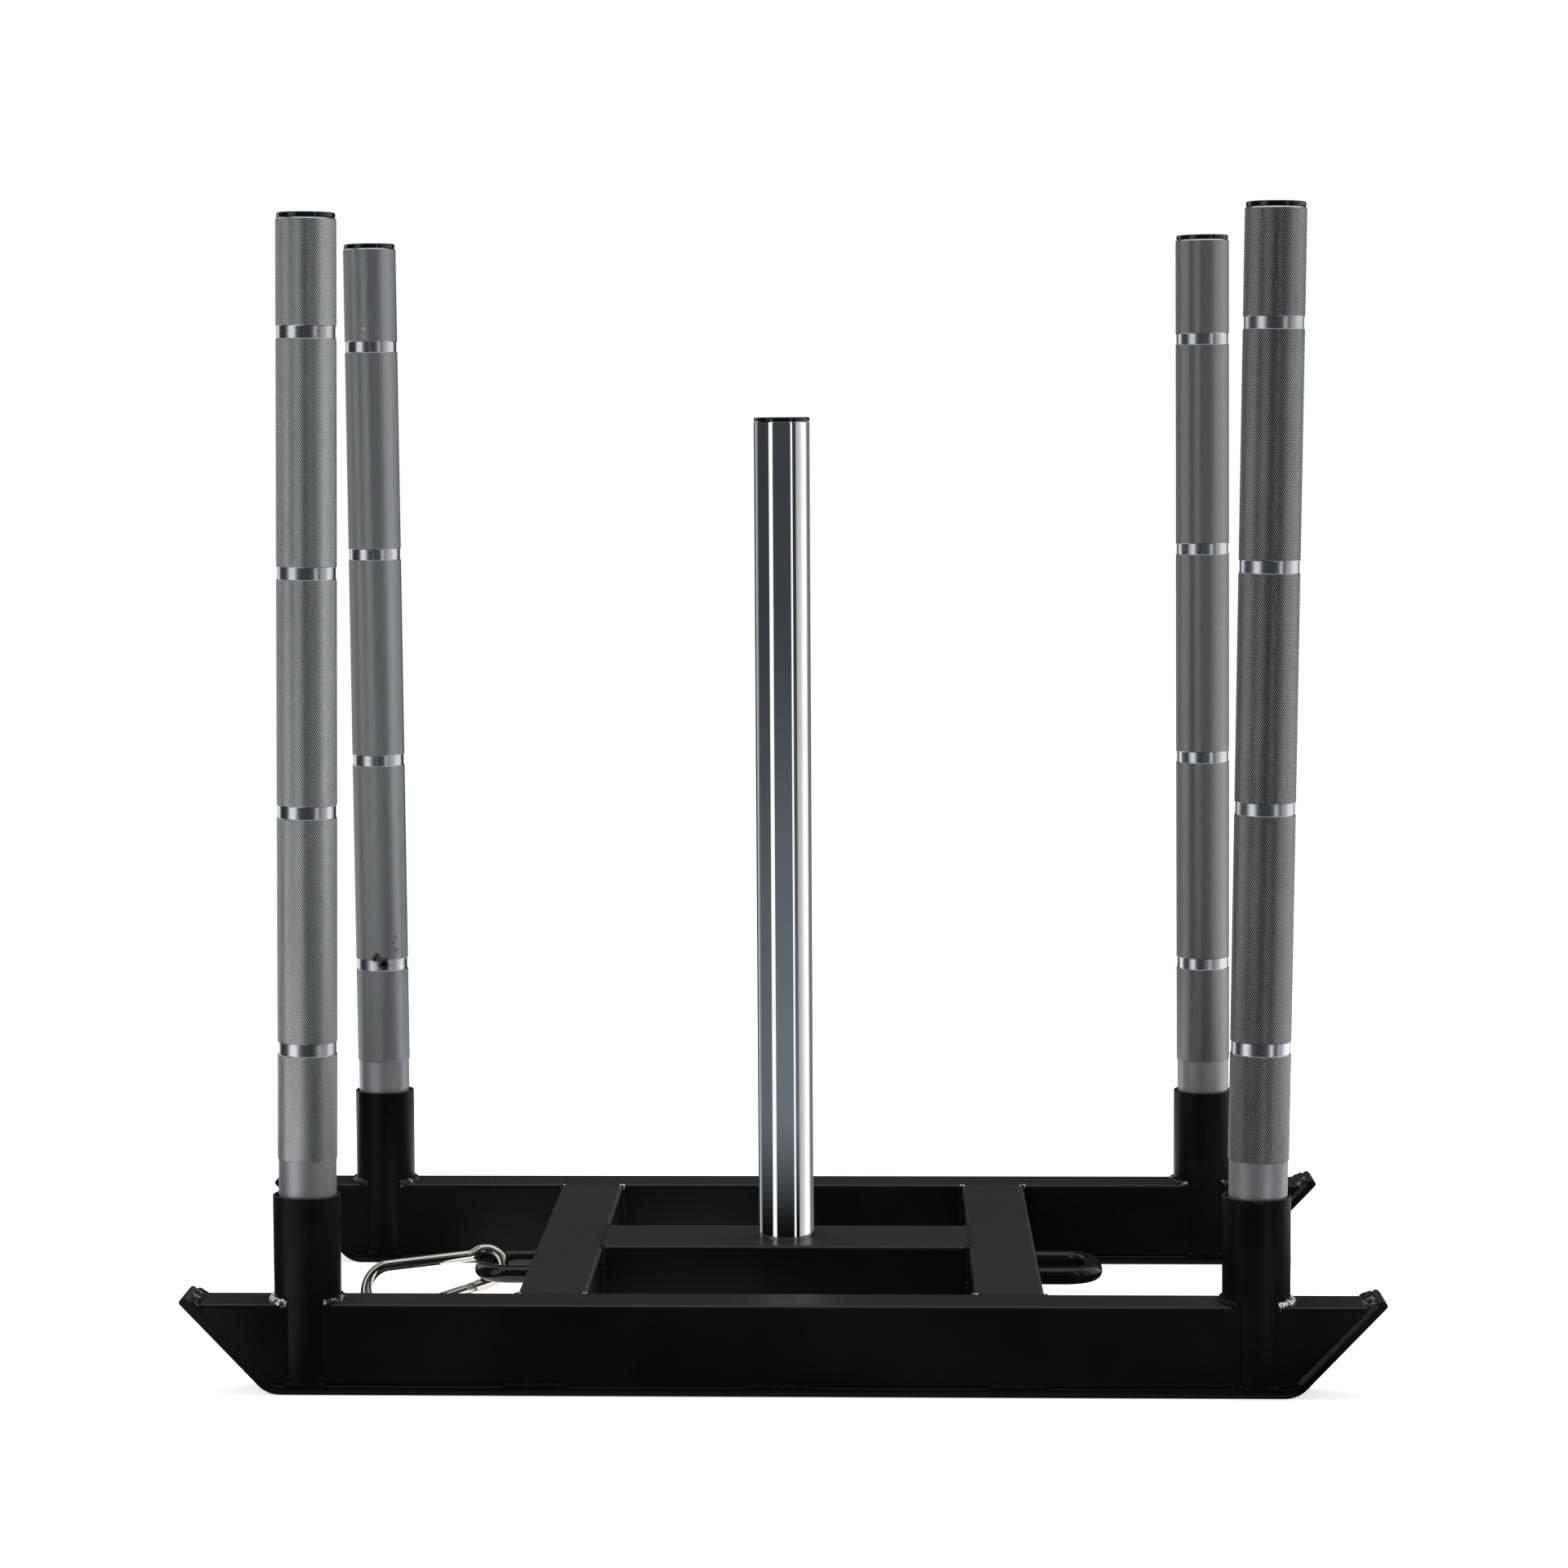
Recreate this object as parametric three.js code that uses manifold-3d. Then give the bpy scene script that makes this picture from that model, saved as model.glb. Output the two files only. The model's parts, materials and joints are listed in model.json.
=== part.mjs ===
// A push sled: two runners on bent skid plates, tied by two crossbars and a centre beam that carries a
// weight post, with four lift-out push poles in sockets, two tow loops and a snap hook in one of them.
// Millimetres. +X is the direction of travel, +Z is up, and the origin is on the ground at the middle.
import * as THREE from "three";
import { mergeVertices } from "three/addons/utils/BufferGeometryUtils.js";
import Module from "manifold-3d";

const wasm = await Module();
wasm.setup();

// Shared clearances
const seatGap = 0.3; // between two pieces that rest on or next to each other
const plugGap = 0.3; // round a plug pushed into a tube
const overrun = 2; // how far a cutting shape passes the faces it cuts

// Runners and their skid plates
const overallLength = 1016; // tip to tip of the skid plates, before their corners are rounded
const runnerSpacing = 550; // middle line to middle line
const runnerWidth = 50;
const runnerHeight = 70;
const runnerWall = 3;
const runnerCorner = 4;
const skidThickness = 8;
const skidBendRadius = 18; // inside the bend
const skidTipHeight = 84.5; // top of the turned-up end
const skidTipRound = 2.5;
const skidEdgeRound = 1.2; // along the plate's long edges
const endSlopeDeg = 46.5; // of the turned-up ends

// Sockets for the push poles
const socketFromTip = 108; // socket's middle line to the tip of the skid plate
const socketWall = 2.75;
const polePlay = 2.5; // between the pole's plain tube and the bore
const socketTop = 168; // rim above the ground
const socketChamfer = 0.8;

// Push poles
const poleDiameter = 49;
const poleWall = 3;
const poleTop = 988; // top of the tube, upright, above the ground
const knurlRise = 0.85; // the knurled bands stand this far above the plain tube
const knurlEndBand = 90; // length of the first and the last band
const knurlBand = 190;
const grooveWidth = 10;
const grooveCount = 4;
const poleEdge = 0.85; // chamfer at the ends of the tube and of the bands
const leanGap = 0.17; // least gap of a leaning pole to its socket
const leanShares = { right: 1, left: -0.29 }; // of the lean that the play in the socket allows

// End caps of the poles and the post
const capHead = 3.6;
const capEdge = 1.4;
const capSkirt = 22;
const capWall = 2.2;
const capRib = 0.6; // the skirt's ribs stand this far out
const capRibCount = 2;
const capRibWidth = 2;

// Crossbars and centre beam
const crossbarFromSocket = 205.5; // between their middle lines, along X
const crossbarWidth = 60;
const crossbarHeight = 60;
const crossbarWall = 3;
const crossbarCorner = 5;
const beamWidth = 100;
const beamWall = 4;
const beamCorner = 5;

// Weight post with its bolt
const postDiameter = 50;
const postWall = 3;
const postTop = 817;
const postEdge = 1;
const postHoleGap = 0.4; // round the post in the beam
const footPlugLength = 26;
const boltDiameter = 12;
const boltHoleGap = 0.5;
const threadGap = 0.15;
const boltReach = 18; // into the foot plug
const boltHeadWidth = 19;
const boltHeadHeight = 6.5;
const washerDiameter = 28;
const washerThickness = 2.5;

// Tow loops
const towBar = 16;
const towReach = { front: 62, rear: 59.6 }; // from the crossbar's face to the loop's far side
const towLegSpacing = 73;
const towBendRadius = 26;
const towHeight = 49; // middle of the bar above the ground

// Snap hook, lying in the rear tow loop
const hookRod = 11;
const hookLength = 140;
const hookTaperDeg = 6; // the spine and the gate each lean this much from the long axis
const hookRollDeg = 24; // turned about its long axis from upright, gate side towards the right runner
const hookNeckShare = 0.745; // spine line's distance from the eye's middle, of the eye's radius
const hookNeckRadius = 9;
const hookEyeGap = 0.5; // round the tow bar
const hookSlack = 1; // the eye lies this much towards the crossbar
const groundGap = 0.4; // under the hook as it lies

// The hook's gate, with distances along its own line
const gateDiameter = 10;
const hingeFromEye = 19; // from where the eye's bend ends
const hingePin = 4;
const hingePinHead = 6.4;
const hingePinProud = 0.7;
const tongueThickness = 4.6;
const tongueRadius = 4.5;
const forkGap = 0.4; // each side of the tongue and of the nose blade
const forkDepth = 8;
const shoulderGap = 0.8;
const noseStub = 3; // rod past the wide bend
const noseBlade = 9;
const noseBladeHeight = 8;
const latchFromStub = 6;
const latchPin = 3;
const latchGap = 0.6;
const latchSlot = 11;
const springBore = 5.2;
const springLength = 18;
const springWire = 0.9;
const springTurns = 7;
const plungerLength = 6;
const springGap = 0.3;

// Fineness of round shapes
const roundSides = 20;
const barSides = 12;
const pinSides = 12;
const wireSides = 5;
const towSteps = 20;
const hookSteps = 52;
const turnSteps = 8;
const cornerSteps = 3;
const bendSteps = 6;

// Values that follow from the ones above
const endSlope = THREE.MathUtils.degToRad(endSlopeDeg);
const runnerTop = skidThickness + runnerHeight;
const runnerFloor = skidThickness + runnerWall; // inner face of the runner's bottom wall
const runnerInner = (runnerSpacing - runnerWidth) / 2;
const socketBore = poleDiameter + polePlay;
const socketDiameter = socketBore + 2 * socketWall;
const poleSpacing = overallLength - 2 * socketFromTip;
const crossbarOffset = poleSpacing / 2 - crossbarFromSocket;
const crossbarBottom = runnerTop - crossbarHeight;
const crossbarFace = crossbarOffset + crossbarWidth / 2;
const crossbarInner = crossbarOffset - crossbarWidth / 2;
const beamFloor = crossbarBottom + beamWall;
const poleFoot = runnerFloor + seatGap;
const poleLength = poleTop - poleFoot;
const pitchBand = knurlBand + grooveWidth;
const knurlLength = 2 * knurlEndBand + (grooveCount - 1) * knurlBand + grooveCount * grooveWidth;
const engagement = socketTop - poleFoot;
const fullLean = Math.atan((polePlay - 2 * leanGap) / engagement);
const towApex = {
  front: crossbarFace + towReach.front - towBar / 2,
  rear: crossbarFace + towReach.rear - towBar / 2,
};

// Colours and surfaces
const powderCoat = { color: 0x151616, roughness: 0.55, metalness: 0.2 };
const zincSteel = { color: 0x8d9293, roughness: 0.42, metalness: 0.9 };
const chrome = { color: 0xd9dcde, roughness: 0.08, metalness: 1 };
const blackPlastic = { color: 0x0c0c0d, roughness: 0.25, metalness: 0 };
const nickel = { color: 0xc9c5b8, roughness: 0.16, metalness: 1 };

// A closed three.js geometry as a solid that can be cut and joined.
function solid(geometry) {
  const bare = geometry.index ? geometry.toNonIndexed() : geometry.clone();
  bare.deleteAttribute("normal");
  bare.deleteAttribute("uv");
  const merged = mergeVertices(bare, 1e-4);
  const index = merged.index.array;
  const triVerts = [];
  for (let i = 0; i < index.length; i += 3) {
    const [a, b, c] = [index[i], index[i + 1], index[i + 2]];
    if (a !== b && b !== c && c !== a) triVerts.push(a, b, c);
  }
  const vertProperties = merged.attributes.position.array;
  return new wasm.Manifold(
    new wasm.Mesh({ numProp: 3, vertProperties, triVerts: new Uint32Array(triVerts) }),
  );
}

function geometryOf(shape) {
  const mesh = shape.getMesh();
  const geometry = new THREE.BufferGeometry();
  geometry.setAttribute("position", new THREE.BufferAttribute(mesh.vertProperties, 3));
  geometry.setIndex(new THREE.BufferAttribute(mesh.triVerts, 1));
  const flat = geometry.toNonIndexed();
  flat.computeVertexNormals();
  return flat;
}

const cut = (base, ...tools) => tools.reduce((left, tool) => left.subtract(tool), base);
const join = (base, ...others) => others.reduce((left, other) => left.add(other), base);

// A named piece with its own material. The shape is a solid or a geometry.
function piece(name, shape, finish) {
  const geometry = shape.isBufferGeometry ? shape : geometryOf(shape);
  const mesh = new THREE.Mesh(geometry, new THREE.MeshStandardMaterial(finish));
  mesh.name = name;
  return mesh;
}

// The outline in X and Z, given as [x, z] points, extruded along Y about the plane y = 0.
function sideProfile(points, width, bevel = 0) {
  const outline = new THREE.Shape(points.map(([x, z]) => new THREE.Vector2(x, z)));
  const geometry = new THREE.ExtrudeGeometry(outline, {
    depth: width - 2 * bevel,
    bevelEnabled: bevel > 0,
    bevelThickness: bevel,
    bevelSize: bevel,
    bevelOffset: -bevel,
    bevelSegments: 1,
  });
  geometry.translate(0, 0, bevel - width / 2);
  return geometry.rotateX(Math.PI / 2);
}

// A rectangle with rounded corners, centred on its middle.
function roundedRectangle(width, height, radius) {
  const shape = new THREE.Shape();
  const [w, h] = [width / 2 - radius, height / 2 - radius];
  shape.absarc(w, h, radius, 0, Math.PI / 2);
  shape.absarc(-w, h, radius, Math.PI / 2, Math.PI);
  shape.absarc(-w, -h, radius, Math.PI, 1.5 * Math.PI);
  shape.absarc(w, -h, radius, 1.5 * Math.PI, 2 * Math.PI);
  shape.closePath();
  return shape;
}

// A rectangular tube along X, centred on the origin, with both ends open.
function boxTube(width, height, wall, corner, length) {
  const section = roundedRectangle(width, height, corner);
  const inner = Math.max(corner - wall, corner / 4);
  section.holes.push(roundedRectangle(width - 2 * wall, height - 2 * wall, inner));
  const geometry = new THREE.ExtrudeGeometry(section, {
    depth: length,
    bevelEnabled: false,
    curveSegments: cornerSteps,
  });
  geometry.translate(0, 0, -length / 2);
  const along = new THREE.Matrix4().makeBasis(
    new THREE.Vector3(0, 1, 0),
    new THREE.Vector3(0, 0, 1),
    new THREE.Vector3(1, 0, 0),
  );
  return geometry.applyMatrix4(along);
}

// A profile of [radius, z] points, going up the outside, revolved about the Z axis.
function turned(profile, sides = roundSides) {
  const points = profile.map(([r, z]) => new THREE.Vector2(r, z));
  return new THREE.LatheGeometry(points, sides).rotateX(Math.PI / 2);
}

// A hole's radius with its flat facets, rather than its corners, at the given size.
const boreRadius = (diameter, sides = roundSides) => diameter / 2 / Math.cos(Math.PI / sides);

function closed(profile) {
  return [...profile, profile[0]];
}

// A plain round solid on the Z axis from one height to another.
function cylinder(radius, from, to, sides = roundSides) {
  return turned([[0, from], [radius, from], [radius, to], [0, to]], sides);
}

// Points on an arc from one angle to another, in radians, as [x, y] pairs.
function arcPoints(cx, cy, radius, from, to, steps) {
  const points = [];
  for (let i = 0; i <= steps; i += 1) {
    const angle = from + ((to - from) * i) / steps;
    points.push([cx + radius * Math.cos(angle), cy + radius * Math.sin(angle)]);
  }
  return points;
}

const mirrored = (points) => points.map(([x, z]) => [-x, z]).reverse();

// A path of straight lines and arcs in the XY plane, walked by its length.
class FlatPath extends THREE.Curve {
  constructor() {
    super();
    this.parts = [];
    this.total = 0;
  }

  add(length, at) {
    this.parts.push({ start: this.total, length, at });
    this.total += length;
    return this;
  }

  line(from, to) {
    return this.add(from.distanceTo(to), (share) => from.clone().lerp(to, share));
  }

  // Turns by the signed angle "sweep" about a centre, starting from angle "from".
  arc(centre, radius, from, sweep) {
    return this.add(Math.abs(sweep) * radius, (share) => {
      const angle = from + sweep * share;
      const offset = new THREE.Vector2(Math.cos(angle), Math.sin(angle)).multiplyScalar(radius);
      return centre.clone().add(offset);
    });
  }

  getPoint(t, target = new THREE.Vector3()) {
    const walked = t * this.total;
    const part = this.parts.findLast((each) => each.start <= walked) ?? this.parts[0];
    const point = part.at(Math.min((walked - part.start) / part.length, 1));
    return target.set(point.x, point.y, 0);
  }
}

// A wire's middle line wound about the X axis.
class Helix extends THREE.Curve {
  constructor(radius, length, turns) {
    super();
    Object.assign(this, { radius, length, turns });
  }

  getPoint(t, target = new THREE.Vector3()) {
    const angle = 2 * Math.PI * this.turns * t;
    return target.set(t * this.length, this.radius * Math.cos(angle), this.radius * Math.sin(angle));
  }
}

function barAlong(path, diameter, steps, sides = barSides) {
  const section = new THREE.Shape(
    arcPoints(0, 0, diameter / 2, 0, 2 * Math.PI, sides)
      .slice(0, sides)
      .map(([x, y]) => new THREE.Vector2(x, y)),
  );
  return new THREE.ExtrudeGeometry(section, { steps, extrudePath: path, bevelEnabled: false });
}

// The skid plate seen from the side. The outer face is the ground side.
const skidOuterRadius = skidBendRadius + skidThickness;
const tipOuter = {
  x: overallLength / 2,
  z: skidTipHeight - skidThickness * Math.cos(endSlope),
};
const skidCorner = tipOuter.x - tipOuter.z / Math.tan(endSlope); // where flat and slope would meet
const bendStart = skidCorner - skidOuterRadius * Math.tan(endSlope / 2);
const bendFrom = -Math.PI / 2;
const bendTo = bendFrom + endSlope;

function skidPlate() {
  const up = new THREE.Vector2(Math.cos(endSlope), Math.sin(endSlope));
  const inward = new THREE.Vector2(-Math.sin(endSlope), Math.cos(endSlope));
  const outerTip = new THREE.Vector2(tipOuter.x, tipOuter.z);
  const innerTip = outerTip.clone().addScaledVector(inward, skidThickness);
  const rounded = (corner, incoming, outgoing) => {
    const centre = corner
      .clone()
      .addScaledVector(incoming, -skidTipRound)
      .addScaledVector(outgoing, skidTipRound);
    const from = Math.atan2(-outgoing.y, -outgoing.x);
    const points = arcPoints(centre.x, centre.y, skidTipRound, from, from + Math.PI / 2, cornerSteps);
    return points;
  };
  const half = [
    ...arcPoints(bendStart, skidOuterRadius, skidOuterRadius, bendFrom, bendTo, bendSteps),
    ...rounded(outerTip, up, inward),
    ...rounded(innerTip, inward, up.clone().negate()),
    ...arcPoints(bendStart, skidOuterRadius, skidBendRadius, bendTo, bendFrom, bendSteps),
  ];
  return sideProfile([...half, ...mirrored(half)], runnerWidth, skidEdgeRound);
}

// The runner's ends follow the inside of the skid plate, a seat gap away from its slope.
function runnerTube() {
  const arcRadius = skidBendRadius - seatGap;
  const bend = arcPoints(bendStart, skidOuterRadius, arcRadius, bendFrom, bendTo, bendSteps).slice(1);
  const [lastX, lastZ] = bend[bend.length - 1];
  const topX = lastX + (runnerTop - lastZ) / Math.tan(endSlope);
  const half = [[bendStart, skidThickness], ...bend, [topX, runnerTop]];
  const side = sideProfile([...half, ...mirrored(half)], runnerWidth + 2 * overrun);
  const tube = boxTube(runnerWidth, runnerHeight, runnerWall, runnerCorner, overallLength);
  tube.translate(0, 0, skidThickness + runnerHeight / 2);
  const holes = [-1, 1].map((end) => {
    const hole = cylinder(
      boreRadius(socketDiameter + 2 * seatGap),
      runnerFloor,
      runnerTop + overrun,
    );
    return solid(hole.translate((end * poleSpacing) / 2, 0, 0));
  });
  return cut(solid(tube).intersect(solid(side)), ...holes);
}

function socketTube() {
  const [outer, inner] = [socketDiameter / 2, boreRadius(socketBore)];
  return turned(
    closed([
      [inner, runnerFloor],
      [outer, runnerFloor],
      [outer, socketTop - socketChamfer],
      [outer - socketChamfer, socketTop],
      [inner + socketChamfer, socketTop],
      [inner, socketTop - socketChamfer],
    ]),
  );
}

// The pole with its raised bands, measured from its own foot.
function poleTube() {
  const plain = poleDiameter / 2;
  const raised = plain + knurlRise;
  const inner = boreRadius(poleDiameter - 2 * poleWall);
  const profile = [
    [inner, 0],
    [plain - poleEdge, 0],
    [plain, poleEdge],
  ];
  const bandStarts = [poleLength - knurlLength];
  for (let i = grooveCount - 1; i >= 0; i -= 1) {
    bandStarts.push(poleLength - knurlEndBand - i * pitchBand);
  }
  bandStarts.forEach((start, i) => {
    const isEnd = i === 0 || i === grooveCount;
    const end = start + (isEnd ? knurlEndBand : knurlBand);
    if (i < grooveCount) {
      profile.push([plain, start], [raised, start + poleEdge]);
      profile.push([raised, end - poleEdge], [plain, end]);
    } else {
      profile.push([plain, start], [raised, start + poleEdge]);
      profile.push([raised, poleLength - 2 * poleEdge], [plain - poleEdge, poleLength]);
    }
  });
  profile.push([inner, poleLength]);
  return turned(closed(profile));
}

// A plug with a flat head and a ribbed skirt. The head's underside is at z = 0.
function endCap(headDiameter, boreDiameter) {
  const head = headDiameter / 2;
  const ribTip = boreDiameter / 2 - plugGap;
  const skirt = ribTip - capRib;
  const pitch = capSkirt / (capRibCount + 1);
  const profile = [
    [skirt - capWall, -capSkirt],
    [skirt, -capSkirt],
  ];
  for (let i = capRibCount; i >= 1; i -= 1) {
    const middle = -i * pitch;
    profile.push([skirt, middle - capRibWidth / 2], [ribTip, middle]);
    profile.push([skirt, middle + capRibWidth / 2]);
  }
  profile.push([skirt, 0], [head, 0], [head, capHead - capEdge], [head - capEdge, capHead]);
  profile.push([0, capHead], [0, 0], [skirt - capWall, 0], [skirt - capWall, -capSkirt]);
  return turned(profile);
}

function towLoop(apex) {
  const leg = towLegSpacing / 2;
  const bendX = apex - towBendRadius;
  const at = (x, y) => new THREE.Vector2(x, y);
  const path = new FlatPath()
    .line(at(crossbarFace + seatGap, -leg), at(bendX, -leg))
    .arc(at(bendX, towBendRadius - leg), towBendRadius, -Math.PI / 2, Math.PI / 2)
    .line(at(apex, towBendRadius - leg), at(apex, leg - towBendRadius))
    .arc(at(bendX, leg - towBendRadius), towBendRadius, 0, Math.PI / 2)
    .line(at(bendX, leg), at(crossbarFace + seatGap, leg));
  return barAlong(path, towBar, towSteps);
}

function centreBeam() {
  const length = 2 * crossbarInner;
  const tube = boxTube(beamWidth, crossbarHeight, beamWall, beamCorner, length);
  tube.translate(0, 0, runnerTop - crossbarHeight / 2);
  const postHole = cylinder(
    boreRadius(postDiameter + 2 * postHoleGap),
    runnerTop - beamWall - overrun,
    runnerTop + overrun,
  );
  const boltHole = cylinder(
    boreRadius(boltDiameter + 2 * boltHoleGap),
    crossbarBottom - overrun,
    beamFloor + overrun,
  );
  return cut(solid(tube), solid(postHole), solid(boltHole));
}

function postTube() {
  const [outer, inner] = [postDiameter / 2, boreRadius(postDiameter - 2 * postWall)];
  return turned(
    closed([
      [inner, beamFloor],
      [outer, beamFloor],
      [outer, postTop - postEdge],
      [outer - postEdge, postTop],
      [inner, postTop],
    ]),
  );
}

function postFootPlug() {
  const outer = postDiameter / 2 - postWall - plugGap;
  const thread = boreRadius(boltDiameter + 2 * threadGap);
  const [low, high] = [beamFloor, beamFloor + footPlugLength];
  return turned(closed([[thread, low], [outer, low], [outer, high], [thread, high]]));
}

function postWasher() {
  const hole = boreRadius(boltDiameter + 2 * boltHoleGap);
  const [low, high] = [crossbarBottom - washerThickness, crossbarBottom];
  const outer = washerDiameter / 2;
  return turned(closed([[hole, low], [outer, low], [outer, high], [hole, high]]));
}

function postBolt() {
  const headTop = crossbarBottom - washerThickness;
  const sixSides = 6;
  const head = cylinder(
    boreRadius(boltHeadWidth, sixSides),
    headTop - boltHeadHeight,
    headTop,
    sixSides,
  );
  const shank = cylinder(boltDiameter / 2, headTop - overrun, beamFloor + boltReach);
  return join(solid(head), solid(shank));
}

// The snap hook, drawn flat: the eye's middle is the origin, X runs to the wide end and Y to the gate.
const taper = THREE.MathUtils.degToRad(hookTaperDeg);
const roll = THREE.MathUtils.degToRad(hookRollDeg);
const rodRadius = hookRod / 2;
const eyeRadius = (towBar / 2 + rodRadius + hookEyeGap) / Math.cos(roll);
const spineOffset = hookNeckShare * eyeRadius;
const wideY = (eyeRadius - spineOffset) / (2 * Math.cos(taper));
const meanOffset = (eyeRadius + spineOffset) / 2;
const wideX = (hookLength - 2 * rodRadius - eyeRadius - meanOffset) / (1 + Math.sin(taper));
const wideRadius = meanOffset + wideX * Math.sin(taper);
const wideCentre = new THREE.Vector2(wideX, wideY);
const gateLine = new THREE.Vector2(Math.cos(taper), Math.sin(taper));
const gateNormal = new THREE.Vector2(-Math.sin(taper), Math.cos(taper));
const onGateLine = (distance) =>
  gateNormal.clone().multiplyScalar(eyeRadius).addScaledVector(gateLine, distance);
const shoulder = hingeFromEye - gateDiameter / 2 - shoulderGap; // the rod ends here before the hinge
const stubEnd = wideCentre.dot(gateLine) - noseStub;
const gateEnd = stubEnd - shoulderGap;
const latchAt = stubEnd - latchFromStub;
const springFrom = hingeFromEye + forkDepth + plungerLength;
const slotWidth = tongueThickness + 2 * forkGap;

// A solid drawn along +X from the gate line's start, set on the gate line.
function onGate(geometry) {
  const start = onGateLine(0);
  return solid(geometry.rotateZ(taper).translate(start.x, start.y, 0));
}

// A round rod along the gate line from one distance to another.
function gateRod(diameter, from, to, sides = barSides) {
  return onGate(cylinder(diameter / 2, from, to, sides).rotateY(Math.PI / 2));
}

// A box along the gate line: its span, and its sizes across and through the hook's plane.
function gateBox(from, to, across, through, shift = 0) {
  const box = new THREE.BoxGeometry(to - from, across, through);
  return onGate(box.translate((from + to) / 2, shift, 0));
}

// A round solid through the hook's plane, at a distance along the gate line.
function gatePin(diameter, at, length, sides = pinSides) {
  return onGate(cylinder(diameter / 2, -length / 2, length / 2, sides).translate(at, 0, 0));
}

// The rod goes from the hinge round the eye, down the spine and round the wide end to the nose.
function hookPath() {
  const outward = new THREE.Vector2(Math.sin(taper), Math.cos(taper)).negate(); // from axis to spine
  const spineLine = new THREE.Vector2(Math.cos(taper), -Math.sin(taper));
  // The neck's arc touches the eye's circle and the spine line.
  const reach = eyeRadius + hookNeckRadius;
  const out = spineOffset + hookNeckRadius;
  const along = Math.sqrt(reach * reach - out * out);
  const neck = outward.clone().multiplyScalar(out).addScaledVector(spineLine, along);
  const neckEnd = neck.clone().addScaledVector(outward, -hookNeckRadius);
  const spineEnd = wideCentre.clone().addScaledVector(outward, wideRadius);
  const eyeFrom = Math.atan2(gateNormal.y, gateNormal.x);
  const eyeTo = Math.atan2(neck.y, neck.x) + 2 * Math.PI;
  const neckFrom = eyeTo + Math.PI;
  const neckTo = Math.atan2(-outward.y, -outward.x) + 2 * Math.PI;
  const wideFrom = Math.atan2(outward.y, outward.x);
  const wideTo = Math.atan2(gateNormal.y, gateNormal.x);
  return new FlatPath()
    .line(onGateLine(shoulder), onGateLine(0))
    .arc(new THREE.Vector2(0, 0), eyeRadius, eyeFrom, eyeTo - eyeFrom)
    .arc(neck, hookNeckRadius, neckFrom, neckTo - neckFrom)
    .line(neckEnd, spineEnd)
    .arc(wideCentre, wideRadius, wideFrom, wideTo - wideFrom)
    .line(onGateLine(stubEnd + noseStub), onGateLine(stubEnd));
}

// A flat tongue at the eye's end carries the hinge, and a notched blade at the nose takes the latch pin.
function hookBody() {
  const rod = solid(barAlong(hookPath(), hookRod, hookSteps));
  const tongue = gateBox(shoulder - overrun, hingeFromEye, 2 * tongueRadius, tongueThickness);
  const tongueEnd = gatePin(2 * tongueRadius, hingeFromEye, tongueThickness, roundSides);
  const blade = gateBox(stubEnd - noseBlade, stubEnd + overrun, noseBladeHeight, tongueThickness);
  const notch = latchPin + 2 * latchGap;
  const notchRound = gatePin(2 * boreRadius(notch, pinSides), latchAt, hookRod);
  const notchMouth = gateBox(
    latchAt - notch / 2,
    latchAt + notch / 2,
    noseBladeHeight,
    hookRod,
    -noseBladeHeight / 2,
  );
  const pinHole = gatePin(2 * boreRadius(hingePin + 2 * seatGap, pinSides), hingeFromEye, hookRod);
  return cut(join(rod, tongue, tongueEnd, blade), notchRound, notchMouth, pinHole);
}

function hookGate() {
  const through = 2 * gateDiameter;
  const shaft = gateRod(gateDiameter, hingeFromEye, gateEnd);
  const forkEnd = gateRod(gateDiameter, hingeFromEye - gateDiameter, hingeFromEye + overrun).intersect(
    gatePin(gateDiameter, hingeFromEye, through, roundSides),
  );
  const forkTo = hingeFromEye + forkDepth;
  const hingeSlot = gateBox(hingeFromEye - gateDiameter, forkTo, through, slotWidth);
  const latchFrom = gateEnd - latchSlot;
  const mouth = gateBox(latchFrom, gateEnd + overrun, through, slotWidth);
  const bore = gateRod(
    2 * boreRadius(springBore, pinSides),
    forkTo - overrun,
    springFrom + springLength,
    pinSides,
  );
  const hingeHole = gatePin(
    2 * boreRadius(hingePin + 2 * seatGap, pinSides),
    hingeFromEye,
    through,
  );
  const latchHole = gatePin(2 * boreRadius(latchPin + 2 * seatGap, pinSides), latchAt, through);
  return cut(join(shaft, forkEnd), hingeSlot, mouth, bore, hingeHole, latchHole);
}

function hingeRivet() {
  const proud = gateDiameter / 2 + seatGap;
  const shank = gatePin(hingePin, hingeFromEye, 2 * proud + hingePinProud);
  const heads = [-1, 1].map((side) => {
    const low = Math.min(side * proud, side * (proud + hingePinProud));
    const disc = cylinder(hingePinHead / 2, low, low + hingePinProud, pinSides);
    return onGate(disc.translate(hingeFromEye, 0, 0));
  });
  return join(shank, ...heads);
}

// The spring keeps its gap to the bore and to what it pushes on at both ends.
function gateSpring() {
  const margin = springGap + springWire / 2;
  const coil = new Helix(springBore / 2 - margin, springLength - 2 * margin, springTurns);
  const wire = barAlong(coil, springWire, springTurns * turnSteps, wireSides);
  return onGate(wire.translate(springFrom + margin, 0, 0));
}

function gatePlunger() {
  const from = hingeFromEye + tongueRadius + seatGap;
  return gateRod(springBore - 2 * springGap, from, springFrom, pinSides);
}

// The hook swings down about the tow bar until its wide end lies on the ground.
function lyingAngle() {
  const lowest = (angle) => {
    const [s, c] = [Math.sin(angle), Math.cos(angle) * Math.cos(roll)];
    const middle = towHeight - wideX * s - wideY * c;
    return middle - wideRadius * Math.hypot(s, c) - rodRadius;
  };
  let [level, hanging] = [0, Math.PI / 2];
  const halvings = 40;
  for (let i = 0; i < halvings; i += 1) {
    const middle = (level + hanging) / 2;
    if (lowest(middle) > groundGap) level = middle;
    else hanging = middle;
  }
  return level;
}

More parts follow.
